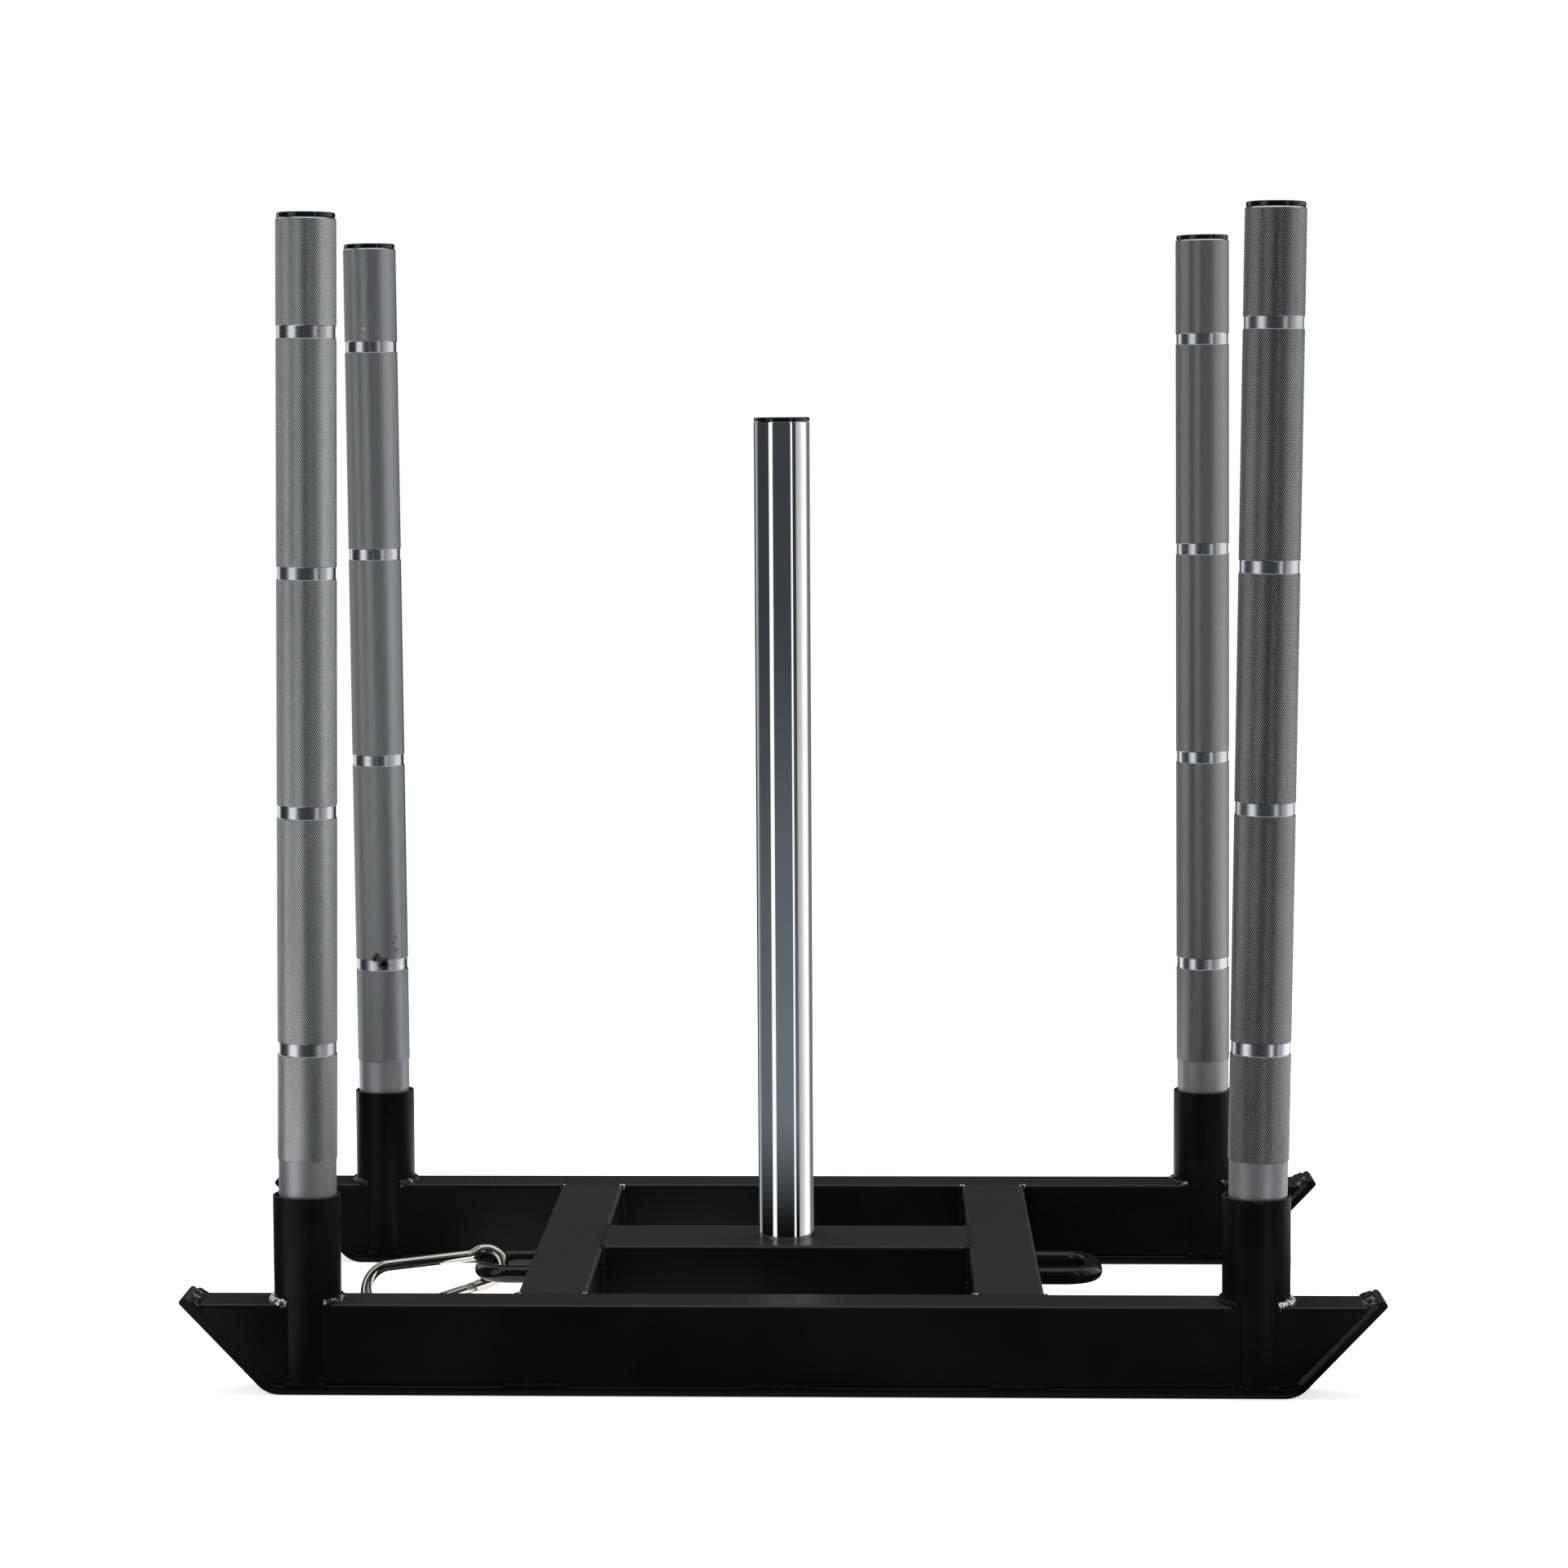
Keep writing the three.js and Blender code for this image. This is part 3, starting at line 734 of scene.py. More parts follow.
@dataclass(frozen=True)
class KnurledSteel(Finish):
    """Zinc-plated steel rolled with a diamond knurl. U is in turns and V in millimetres."""

    name: str = "knurled_steel"
    ridge: Point = (0.90, 0.93, 0.95)
    # painted shade that fills the knurl's valleys
    valley_shade: Point = (0.002, 0.002, 0.002)
    rows_round: int = 88
    pitch_along_mm: float = 2.95
    depth: float = 0.2 * MM
    wear: float = 0.05
    cut: float = 0.34  # height, of the ridges' own, above which the steel is bright
    cut_edge: float = 0.06
    roughness: Span = (0.30, 0.40)
    grain_per_metre: float = 1500.0
    patch_per_metre: float = 14.0
    spots: tuple[Spot, ...] = ()

    def shade(self, graph: Graph) -> Node:
        """Shade the knurl as two sets of ridges that cross, bright on top, with painted shade in the
        valleys between.

        Args:
            graph: The material's graph.

        Returns:
            The shader.
        """
        turns, along, _ = graph.node("SeparateXYZ", Vector=graph.node("UVMap").outputs[0]).outputs
        round_it = graph.math("MULTIPLY", turns, float(self.rows_round))
        along = graph.math("DIVIDE", along, self.pitch_along_mm)
        flanks = []
        for operation in ("ADD", "SUBTRACT"):
            turn = graph.math("FRACT", graph.math(operation, round_it, along))
            off_middle = graph.math("ABSOLUTE", graph.math("SUBTRACT", turn, 0.5))
            flanks.append(graph.math("MULTIPLY_ADD", off_middle, -2.0, 1.0))
        height = graph.math("MINIMUM", *flanks)
        fine, broad = self.grain(graph)
        # below the cut the valleys take the painted shade
        bright = graph.ramp(height, self.cut - self.cut_edge, self.cut + self.cut_edge)
        lift = graph.math("ADD", bright, graph.remap(broad, 0.3, 0.75, 0.0, self.wear))
        colour = graph.blend(graph.math("MINIMUM", lift, 1.0), self.valley_shade, self.ridge)
        return graph.node(
            "BsdfPrincipled",
            Base_Color=self.spotted(graph, colour, self.spots),
            Metallic=1.0,
            Roughness=graph.remap(fine, 0.3, 0.7, *self.roughness),
            Normal=graph.bump(height, self.depth, 1.0),
        )


@dataclass(frozen=True)
class BareSteel(Finish):
    """Plated or polished steel, with faint turning marks and handling marks."""

    name: str = "satin_steel"
    colour: Point = (0.64, 0.655, 0.67)
    tarnish: Point = (0.48, 0.50, 0.52)
    roughness: Span = (0.30, 0.40)
    grain_per_metre: float = 1600.0
    patch_per_metre: float = 16.0
    mark_depth: float = 0.02 * MM
    metallic: float = 1.0
    spots: tuple[Spot, ...] = ()

    def shade(self, graph: Graph) -> Node:
        """Shade the steel, with patches of tarnish.

        Args:
            graph: The material's graph.

        Returns:
            The shader.
        """
        fine, broad = self.grain(graph)
        colour = graph.blend(graph.ramp(broad, 0.45, 0.85), self.colour, self.tarnish)
        return graph.node(
            "BsdfPrincipled",
            Base_Color=self.spotted(graph, colour, self.spots),
            Metallic=self.metallic,
            Roughness=graph.remap(broad, 0.3, 0.8, *self.roughness),
            Normal=graph.bump(fine, self.mark_depth, 0.3),
        )


@dataclass(frozen=True)
class MouldedPlastic(Finish):
    """Black moulded plastic of the end caps."""

    name: str = "end_cap"
    colour: Point = (0.0045, 0.0045, 0.005)
    dust_and_sheen: Point = (0.012, 0.012, 0.012)
    most_dust: float = 0.6
    roughness: Span = (0.07, 0.14)
    grain_per_metre: float = 2500.0
    patch_per_metre: float = 40.0
    grain_depth: float = 0.02 * MM

    def shade(self, graph: Graph) -> Node:
        """Shade the plastic, with thin dusty patches.

        Args:
            graph: The material's graph.

        Returns:
            The shader.
        """
        fine, broad = self.grain(graph)
        share = graph.remap(broad, 0.55, 0.8, 0.0, self.most_dust)
        return graph.node(
            "BsdfPrincipled",
            Base_Color=graph.blend(share, self.colour, self.dust_and_sheen),
            Roughness=graph.remap(broad, 0.3, 0.7, *self.roughness),
            Normal=graph.bump(fine, self.grain_depth, 0.2),
        )


# Sub-assemblies


def coat(piece: Object, *materials: Material) -> None:
    """Put materials in a piece's slots.

    Args:
        piece: The piece.
        *materials: Its materials, in the order of its slots.
    """
    slots = piece.data.materials
    for number, material in enumerate(materials):
        if number < len(slots):
            slots[number] = material
        else:
            slots.append(material)


def stand_in(piece: Object, node: str, body: str, slot: Slot, *materials: Material) -> None:
    """Coat a piece and let it replace a node and ride on its body.

    Args:
        piece: The new piece.
        node: The node that it replaces.
        body: The body that it rides on.
        slot: The record's material slot. Not used.
        *materials: Its materials, in the order of its slots.
    """
    coat(piece, *materials)
    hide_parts(node)
    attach(piece, body)
    log.info("%s stands for %s", piece.name, node)


def add_weld(piece: Object, material: Material) -> None:
    """Coat a piece of weld metal, which no node holds, and let it ride on the frame.

    Args:
        piece: The weld.
        material: Its material.
    """
    coat(piece, material)
    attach(piece, "root")
    log.info("%s laid", piece.name)


@dataclass(frozen=True)
class PlateBend:
    """How a skid plate turns up at its ends."""

    plate: float = 8.0 * MM
    inside: float = 18.0 * MM  # radius inside the bend
    slope: float = math.radians(46.5)
    full_length: float = 1.016  # over the plates before their tips are rounded
    tip_loss: float = 1.1 * MM  # height that the rounding takes off a tip

    def tip_height(self, side: Side) -> float:
        """Give the height at which the plate's lower face ends, before its tip is rounded."""
        _, high = box_of(f"skid_plate_{side.value}")
        return high.z + self.tip_loss - self.plate * math.cos(self.slope)

    def start(self, side: Side) -> float:
        """Give the X at which the plate starts to turn up."""
        corner = self.full_length / 2 - self.tip_height(side) / math.tan(self.slope)
        return corner - (self.inside + self.plate) * math.tan(self.slope / 2)


@dataclass
class Runners:
    """The two runner tubes on their bent skid plates."""

    coat: Material
    plate_coat: Material
    bend: PlateBend = PlateBend()
    corner: float = 4.0 * MM
    tip_round: float = 3.0 * MM
    edge_round: float = 1.2 * MM
    gap: float = 0.3 * MM

    def build(self) -> None:
        """Make both sides."""
        for side in Side:
            self.runner(side)
            self.skid(side)

    def runner(self, side: Side) -> None:
        """Make one tube, with sloped ends and with holes for its sockets.

        Args:
            side: The tube's side.
        """
        node = f"runner_{side.value}"
        work = Workpiece.block(f"{node}_tube", *box_of(node))
        work.pick_along(0).bevel(self.corner, 5)
        bend = self.bend
        seat = bend.inside - self.gap
        end_x = bend.start(side) + seat * math.sin(bend.slope)
        end_z = bend.plate + bend.inside - seat * math.cos(bend.slope)
        for end in End:
            normal = (end.sign * math.sin(bend.slope), 0, -math.cos(bend.slope))
            work.trim((end.sign * end_x, 0, end_z), normal)
        piece = work.finish()
        cut_by(piece, [self.socket_hole(side, end) for end in End])
        even_shading(piece)
        stand_in(piece, node, "root", Slot.COAT, self.coat)

    def socket_hole(self, side: Side, end: End) -> Object:
        """Make the cutter for one socket's hole.

        Args:
            side: The socket's side.
            end: The socket's end.

        Returns:
            The cutter in its place.
        """
        low, high = box_of(f"socket_{end.value}_{side.value}")
        middle = (low + high) / 2
        radius = (high.x - low.x) / 2 + self.gap
        cutter = turned("cutter", [(radius, low.z), (radius, high.z)])
        return place(cutter, Matrix.Translation((middle.x, middle.y, 0)))

    def skid(self, side: Side) -> None:
        """Make one plate, flat under the runner and bent up at both ends.

        Args:
            side: The plate's side.
        """
        node = f"skid_plate_{side.value}"
        low, high = box_of(node)
        bend = self.bend
        start = bend.start(side)
        outer = bend.inside + bend.plate
        work = Workpiece.block(f"{node}_bent", (-start, low.y, 0), (start, high.y, bend.plate))
        middle_y = (low.y + high.y) / 2
        bent_z = outer * (1 - math.cos(bend.slope))
        run = (bend.tip_height(side) - bent_z) / math.sin(bend.slope)
        for end in End:
            work.pick("faces", lambda f: self.is_end(f, end.sign, start))
            work.spin((end.sign * start, middle_y, outer), (0, -end.sign, 0), bend.slope, 8)
            work.extrude((end.sign * run * math.cos(bend.slope), 0, run * math.sin(bend.slope)))
            work.pick("edges", lambda e: self.is_tip(e, end.sign, high.y - low.y))
            work.bevel(self.tip_round, 4)
        piece = work.finish()
        modify(
            piece,
            "BEVEL",
            width=self.edge_round,
            segments=3,
            limit_method="ANGLE",
            angle_limit=math.radians(40),
        )
        even_shading(piece)
        stand_in(piece, node, "root", Slot.COAT, self.plate_coat)

    def is_end(self, face: bmesh.types.BMFace, sign: int, start: float) -> bool:
        """Say whether a face closes the plate's flat part at one end."""
        return face.normal.x * sign > ALONG and abs(face.calc_center_median().x - sign * start) < MM

    def is_tip(self, edge: bmesh.types.BMEdge, sign: int, width: float) -> bool:
        """Say whether an edge runs across the plate at its turned-up end."""
        far = self.bend.full_length / 2 - 1.2 * self.bend.plate
        return abs(run_of(edge).y) > ALONG * width and min(sign * v.co.x for v in edge.verts) > far


@dataclass
class Sockets:
    """The four tubes that hold the push poles."""

    coat: Material
    bore: float = 51.5 * MM
    rim_round: float = 0.9 * MM

    def build(self) -> None:
        """Make the four sockets."""
        for side in Side:
            for end in End:
                self.socket(f"socket_{end.value}_{side.value}")

    def socket(self, node: str) -> None:
        """Make one socket with a rounded rim.

        Args:
            node: Its node.
        """
        low, high = box_of(node)
        outer, inner, edge = (high.x - low.x) / 2, self.bore / 2, self.rim_round
        profile = [
            (inner, low.z),
            (outer, low.z),
            *rounded_edge((outer - edge, high.z - edge), edge, 0, 90),
            *rounded_edge((inner + edge, high.z - edge), edge, 90, 180),
            (inner, low.z),
        ]
        piece = turned(f"{node}_tube", profile)
        place(piece, Matrix.Translation(((low.x + high.x) / 2, (low.y + high.y) / 2, 0)))
        stand_in(piece, node, "root", Slot.COAT, self.coat)


@dataclass
class Deck:
    """The crossbars, the centre beam and the tow loops."""

    coat: Material
    glossy: Material
    bar_wall: float = 3.0 * MM
    bar_corner: float = 5.0 * MM
    beam_wall: float = 4.0 * MM
    beam_corner: float = 5.0 * MM
    post_hole: float = 50.8 * MM
    bolt_hole: float = 13.0 * MM
    loop_bar: float = 16.0 * MM
    loop_bend: float = 26.0 * MM

    def build(self) -> None:
        """Make every piece of the deck."""
        for end in End:
            self.crossbar(f"crossbar_{end.value}")
            self.tow_loop(end)
        self.beam()

    def tube(self, node: str, axis: int, corner: float, wall: float) -> Object:
        """Make a square tube that is open at both ends.

        Args:
            node: The node whose size it has.
            axis: Its length's axis, 0 for X or 1 for Y.
            corner: Radius of its corners.
            wall: Thickness of its wall.

        Returns:
            The tube.
        """
        work = Workpiece.block(f"{node}_tube", *box_of(node))
        work.pick_along(axis).bevel(corner, 6)
        work.pick("faces", lambda f: abs(f.normal[axis]) > ALONG)
        bpy.ops.mesh.delete(type="FACE")
        piece = work.finish(50)
        modify(piece, "SOLIDIFY", thickness=wall, offset=-1, use_even_offset=True)
        even_shading(piece)
        return piece

    def crossbar(self, node: str) -> None:
        """Make one crossbar, a tube along Y."""
        piece = self.tube(node, 1, self.bar_corner, self.bar_wall)
        stand_in(piece, node, "root", Slot.COAT, self.coat)

    def beam(self) -> None:
        """Make the centre beam with the holes for the post and its bolt."""
        low, high = box_of("centre_beam")
        piece = self.tube("centre_beam", 0, self.beam_corner, self.beam_wall)
        middle = (low.z + high.z) / 2
        holes = ((self.post_hole / 2, middle, 2 * high.z), (self.bolt_hole / 2, 0, middle))
        cut_by(piece, [turned("cutter", [(r, foot), (r, top)]) for r, foot, top in holes])
        even_shading(piece)
        stand_in(piece, "centre_beam", "root", Slot.COAT, self.coat)

    def tow_loop(self, end: End) -> None:
        """Make one tow loop, a round bar bent to a U.

        Args:
            end: The loop's end of the sled.
        """
        node = f"tow_loop_{end.value}"
        low, high = box_of(node)
        radius = self.loop_bar / 2
        height = (low.z + high.z) / 2
        leg = high.y - radius
        root, apex = sorted((abs(low.x), abs(high.x)))
        bend_x = apex - radius - self.loop_bend
        work = Workpiece.ring(f"{node}_bar", (root, -leg, height), radius, 40, (0, QUARTER, 0))
        work.extrude((bend_x - root, 0, 0))
        work.spin((bend_x, self.loop_bend - leg, height), (0, 0, 1), QUARTER, 16)
        work.extrude((0, 2 * (leg - self.loop_bend), 0))
        work.spin((bend_x, leg - self.loop_bend, height), (0, 0, 1), QUARTER, 16)
        work.extrude((root - bend_x, 0, 0))
        piece = work.close_holes().finish()
        if end is End.REAR:
            place(piece, Matrix.Rotation(math.pi, 4, "Z"))
        stand_in(piece, node, "root", Slot.COAT, self.glossy)


@dataclass(frozen=True)
class EndCap:
    """A plug with a rounded head for the upper end of a tube."""

    rise: float = 3.6 * MM
    skirt_depth: float = 22.0 * MM
    skirt_gap: float = 0.5 * MM
    edge_share: float = 0.4  # of the rise that the head's rounding takes
    crown_share: float = 0.12  # of the rise by which the head sinks to its middle

    def profile(self, radius: float, bore: float) -> Profile:
        """Give the cap's profile, from the foot of its skirt up to the middle of its head.

        Args:
            radius: Radius of the head.
            bore: Radius of the tube's bore.

        Returns:
            Points (radius, height), with the head's seat at zero.
        """
        edge, crown = self.edge_share * self.rise, self.crown_share * self.rise
        skirt = bore - self.skirt_gap
        return [
            (skirt, -self.skirt_depth),
            (skirt, 0),
            (radius, 0),
            *rounded_edge((radius - edge, self.rise - edge), edge, 0, 90, 6),
            (0.5 * radius, self.rise - crown / 4),
            (0.02 * radius, self.rise - crown / 8),
        ]


@dataclass
class Poles:
    """The four push poles with their end caps. Their finishes are given by the pole's place; the knurls
    are copies with painted light and shade.
    """

    knurls: dict[str, Material]
    grooved: dict[str, Material]
    foot: Material
    plastic: Material
    cap: EndCap = EndCap()
    plain: float = 49.0 * MM
    rise: float = 0.85 * MM
    wall: float = 3.0 * MM
    end_band: float = 90.0 * MM
    band: float = 190.0 * MM
    groove: float = 10.0 * MM
    grooves: int = 4
    edge: float = 0.85 * MM
    length: float = 976.7 * MM
    gap: float = 0.3 * MM
    crown_slack: float = 0.1 * MM
    sides: int = 128

    def build(self) -> None:
        """Make the four poles and their caps."""
        master = self.tube()
        outer = self.plain / 2
        cap = turned("cap_master", self.cap.profile(outer, outer - self.wall), self.sides)
        for joint in frame["record"]["behaviour"]["joints"]:
            if joint["name"].startswith("pole_lift_"):
                self.stand(joint, master, cap)
        bpy.data.objects.remove(master)
        bpy.data.objects.remove(cap)

    def bands(self) -> list[Span]:
        """Give the knurled bands.

        Returns:
            Heights above the foot at which each starts and ends, from the bottom up.
        """
        pitch = self.band + self.groove
        top_start = self.length - self.end_band
        found = [(top_start, self.length)]
        for i in range(self.grooves - 1):
            high = top_start - self.groove - i * pitch
            found.append((high - self.band, high))
        lowest = found[-1][0] - self.groove
        found.append((lowest - self.end_band, lowest))
        return sorted(found)

    def tube(self) -> Object:
        """Turn the pole with its raised bands.

        Returns:
            The pole, standing on the origin.
        """
        plain, raised, edge = self.plain / 2, self.plain / 2 + self.rise, self.edge
        inner = plain - self.wall
        profile = [(inner, 0.0), (plain - edge, 0.0), (plain, edge)]
        for low, high in self.bands():
            profile += [(plain, low), *rounded_edge((raised - edge, low + edge), edge, -90, 0)]
            if high < self.length:
                profile += [*rounded_edge((raised - edge, high - edge), edge, 0, 90), (plain, high)]
            else:
                profile.append((raised, high - 2.2 * edge))
                profile.append((raised - 0.3 * edge, high - 1.8 * edge))
                profile.append((plain - edge, high))
        profile += [(inner, self.length), profile[0]]
        piece = turned("pole_master", profile, self.sides)
        self.map_surface(piece)
        return piece

    def map_surface(self, piece: Object) -> None:
        """Map the pole in turns and millimetres, and put its other materials on plain faces.

        Args:
            piece: The pole, standing on the origin.
        """
        mesh = piece.data
        knurl_from = self.plain / 2 + 0.4 * self.rise
        foot_top = self.bands()[0][0] + MM
        full_turn = 2 * math.pi
        while mesh.uv_layers:
            mesh.uv_layers.remove(mesh.uv_layers[0])
        layer = mesh.uv_layers.new(name="UVMap")
        for face in mesh.polygons:
            spots = [mesh.vertices[i].co for i in face.vertices]
            middle = sum(spots, Vector()) / len(spots)
            knurled = middle.xy.length > knurl_from and abs(face.normal.z) < 0.5
            face.material_index = 0 if knurled else 1 if middle.z > foot_top else 2
            centre = math.atan2(middle.y, middle.x)
            for loop, spot in zip(face.loop_indices, spots):
                turn = math.atan2(spot.y, spot.x)
                turn += full_turn * round((centre - turn) / full_turn)
                layer.data[loop].uv = (turn / full_turn, spot.z / MM)

    def stand(self, joint: dict, master: Object, cap: Object) -> None:
        """Stand one pole with its cap in its socket.

        Args:
            joint: The pole's joint in the record, whose axis is the pole's own.
            master: The pole to copy.
            cap: The cap to copy.
        """
        where = joint["name"].removeprefix("pole_lift_")
        node = f"pole_{where}"
        axis = Vector(joint["axis"]).normalized()
        foot_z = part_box(node)[0][2] + abs(axis.x) * self.plain / 2
        on_axis = Vector(joint["pos_m"])
        foot = on_axis - axis * (on_axis.z - foot_z) / axis.z
        lean = Matrix.Rotation(math.atan2(axis.x, axis.z), 4, "Y")
        pole = place(copy_of(master, f"{node}_tube"), Matrix.Translation(foot) @ lean)
        metals = self.knurls[where], self.grooved[where], self.foot
        stand_in(pole, node, joint["child"], Slot.KNURL, *metals)
        seat = foot + axis * (self.length + self.gap - self.crown_slack)
        top = place(copy_of(cap, f"pole_cap_{where}_plug"), Matrix.Translation(seat) @ lean)
        stand_in(top, f"pole_cap_{where}", joint["child"], Slot.CAP, self.plastic)


@dataclass
class WeightPost:
    """The chromed post for the weight plates, with its cap."""

    chrome: Material
    plastic: Material
    cap: EndCap = EndCap()
    wall: float = 3.0 * MM
    edge: float = 1.0 * MM

    def build(self) -> None:
        """Make the tube and its cap."""
        low, high = box_of("post_tube")
        outer = (high.x - low.x) / 2
        inner = outer - self.wall
        profile = [
            (inner, low.z),
            (outer, low.z),
            *rounded_edge((outer - self.edge, high.z - self.edge), self.edge, 0, 90),
            (inner, high.z),
            (inner, low.z),
        ]
        tube = turned("post_tube_chromed", profile, 160)
        stand_in(tube, "post_tube", "root", Slot.CHROME, self.chrome)
        cap = turned("post_cap_plug", self.cap.profile(outer, inner), 128)
        place(cap, Matrix.Translation((0, 0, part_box("post_cap")[1][2] - self.cap.rise)))
        stand_in(cap, "post_cap", "root", Slot.CAP, self.plastic)


@dataclass
class SnapHook:
    """The snap hook's body and gate, drawn flat about the eye's middle. X runs to the wide end."""

    nickel: Material
    rod: float = 11.0 * MM
    length: float = 140.0 * MM
    taper: float = math.radians(6)
    roll: float = math.radians(24)
    neck_share: float = 0.745
    neck_radius: float = 9.0 * MM
    tow_bar: float = 16.0 * MM
    eye_gap: float = 0.5 * MM
    slack: float = 1.0 * MM
    gate: float = 10.0 * MM
    gate_chamfer: float = 0.5 * MM
    hinge: float = 19.0 * MM
    shoulder_gap: float = 0.8 * MM
    tongue: float = 4.6 * MM
    tongue_half: float = 4.5 * MM
    fork_gap: float = 0.4 * MM
    fork_depth: float = 8.0 * MM
    nose_stub: float = 3.0 * MM
    nose_blade: float = 9.0 * MM
    blade_half: float = 4.0 * MM
    blade_round: float = 1.5 * MM
    latch_from_stub: float = 6.0 * MM
    latch_notch: float = 2.1 * MM
    latch_slot: float = 11.0 * MM
    sunk: float = 2.0 * MM  # how far the tongue and the blade reach into the rod
    spine_share: float = 0.95  # the spine's rod is drawn a little thinner than the eye's
    thinning: float = 0.4 * MM  # length over which it thins

    def __post_init__(self) -> None:
        """Work out the hook's lines and its place."""
        self.eye = (self.tow_bar / 2 + self.rod / 2 + self.eye_gap) / math.cos(self.roll)
        self.spine = self.neck_share * self.eye
        mean = (self.eye + self.spine) / 2
        reach = self.length - self.rod - self.eye - mean
        wide_x = reach / (1 + math.sin(self.taper))
        self.wide = mean + wide_x * math.sin(self.taper)
        wide_y = (self.eye - self.spine) / (2 * math.cos(self.taper))
        self.wide_centre = Vector((wide_x, wide_y, 0))
        self.on_gate = Vector((math.cos(self.taper), math.sin(self.taper), 0))
        self.on_spine = Vector((math.cos(self.taper), -math.sin(self.taper), 0))
        self.to_gate = Vector((-math.sin(self.taper), math.cos(self.taper), 0))
        self.outward = Vector((-math.sin(self.taper), -math.cos(self.taper), 0))
        self.shoulder = self.hinge - self.gate / 2 - self.shoulder_gap
        self.stub_end = self.wide_centre.dot(self.on_gate) - self.nose_stub
        self.gate_end = self.stub_end - self.shoulder_gap
        joints = {joint["name"]: joint for joint in frame["record"]["behaviour"]["joints"]}
        normal = -Vector(joints["hook_gate_hinge"]["axis"]).normalized()
        along = Vector((-normal.z, 0, normal.x)).normalized()
        turn = Matrix((along, normal.cross(along), normal)).transposed().to_4x4()
        origin = Vector(joints["hook_swing"]["pos_m"]) + Vector((self.slack, 0, 0))
        self.place = Matrix.Translation(origin) @ turn
        start = Matrix.Translation(self.to_gate * self.eye)
        self.gate_place = self.place @ start @ Matrix.Rotation(self.taper, 4, "Z")

    def build(self) -> None:
        """Make the body and the gate."""
        self.body()
        self.gate_piece()

    def gate_point(self, distance: float) -> Vector:
        """Give a point on the gate's middle line."""
        return self.to_gate * self.eye + self.on_gate * distance

    def body(self) -> None:
        """Bend the rod from the hinge round the eye, down the spine and round to the nose."""
        first = self.gate_point(self.shoulder)
        turn = (0, QUARTER, math.pi + self.taper)
        work = Workpiece.ring("hook_body_rod", first, self.rod / 2, 40, turn)
        work.extrude(self.gate_point(0) - first)
        neck_out = self.spine + self.neck_radius
        neck_reach = self.eye + self.neck_radius
        neck = self.outward * neck_out + self.on_spine * math.sqrt(neck_reach**2 - neck_out**2)
        eye_from = math.atan2(self.to_gate.y, self.to_gate.x)
        eye_to = math.atan2(neck.y, neck.x) + 2 * math.pi
        neck_to = math.atan2(-self.outward.y, -self.outward.x) + math.pi
        up = (0, 0, 1)
        work.spin((0, 0, 0), up, eye_to - eye_from, 40)
        work.spin(neck, up, neck_to - eye_to, 8)
        neck_end = neck - self.outward * self.neck_radius
        thin = self.on_spine * self.thinning
        work.extrude(thin)
        work.resize([self.spine_share] * 3, neck_end + thin)
        work.extrude(self.wide_centre + self.outward * self.wide - neck_end - thin)
        work.spin(self.wide_centre, up, 2 * (eye_from - QUARTER) + math.pi, 40)
        work.extrude(-self.on_gate * self.nose_stub)
        rod = work.close_holes().finish(50)
        pieces = [place(rod, self.place), self.tongue_piece(), self.blade_piece()]
        whole = joined("hook_body_rod", pieces)
        stand_in(whole, "hook_body", "snap_hook", Slot.NICKEL, self.nickel)

    def plate(self, name: str, low: Sequence[float], high: Sequence[float]) -> Workpiece:
        """Start a flat piece that lies in the hook's plane along the gate's line."""
        thick = self.tongue / 2
        return Workpiece.block(name, (*low, -thick), (*high, thick))

    def pick_corners(self, work: Workpiece, at_x: float) -> Workpiece:
        """Select a flat piece's corners at one end, which run through the hook's plane.

        Args:
            work: The flat piece.
            at_x: The end's X.

        Returns:
            The flat piece.
        """
        return work.pick(
            "edges",
            lambda e: all(abs(v.co.x - at_x) < 1e-6 for v in e.verts) and abs(run_of(e).z) > MM,
        )

    def tongue_piece(self) -> Object:
        """Make the flat tongue that carries the hinge.

        Returns:
            The tongue in its place.
        """
        half, end_x = self.tongue_half, self.hinge + self.tongue_half
        work = self.plate("tongue", (self.shoulder - self.sunk, -half), (end_x, half))
        self.pick_corners(work, end_x).bevel(0.99 * half, 8)
        return place(work.finish(40), self.gate_place)

    def blade_piece(self) -> Object:
        """Make the nose's blade with its notch for the latch pin.

        Returns:
            The blade in its place.
        """
        half, notch = self.blade_half, self.latch_notch
        tip = self.stub_end - self.nose_blade
        work = self.plate("blade", (tip, -half), (self.stub_end + self.sunk, half))
        self.pick_corners(work, tip).bevel(self.blade_round, 4)
        piece = work.finish(40)
        at = self.stub_end - self.latch_from_stub
        mouth = Workpiece.block("cutter", (at - notch, -2 * half, -half), (at + notch, 0, half))
        mouth = mouth.finish()
        hole = turned("cutter", [(notch, -half), (notch, half)], 32)
        place(hole, Matrix.Translation((at, 0, 0)))
        cut_by(piece, (mouth, hole))
        even_shading(piece, 40)
        return place(piece, self.gate_place)

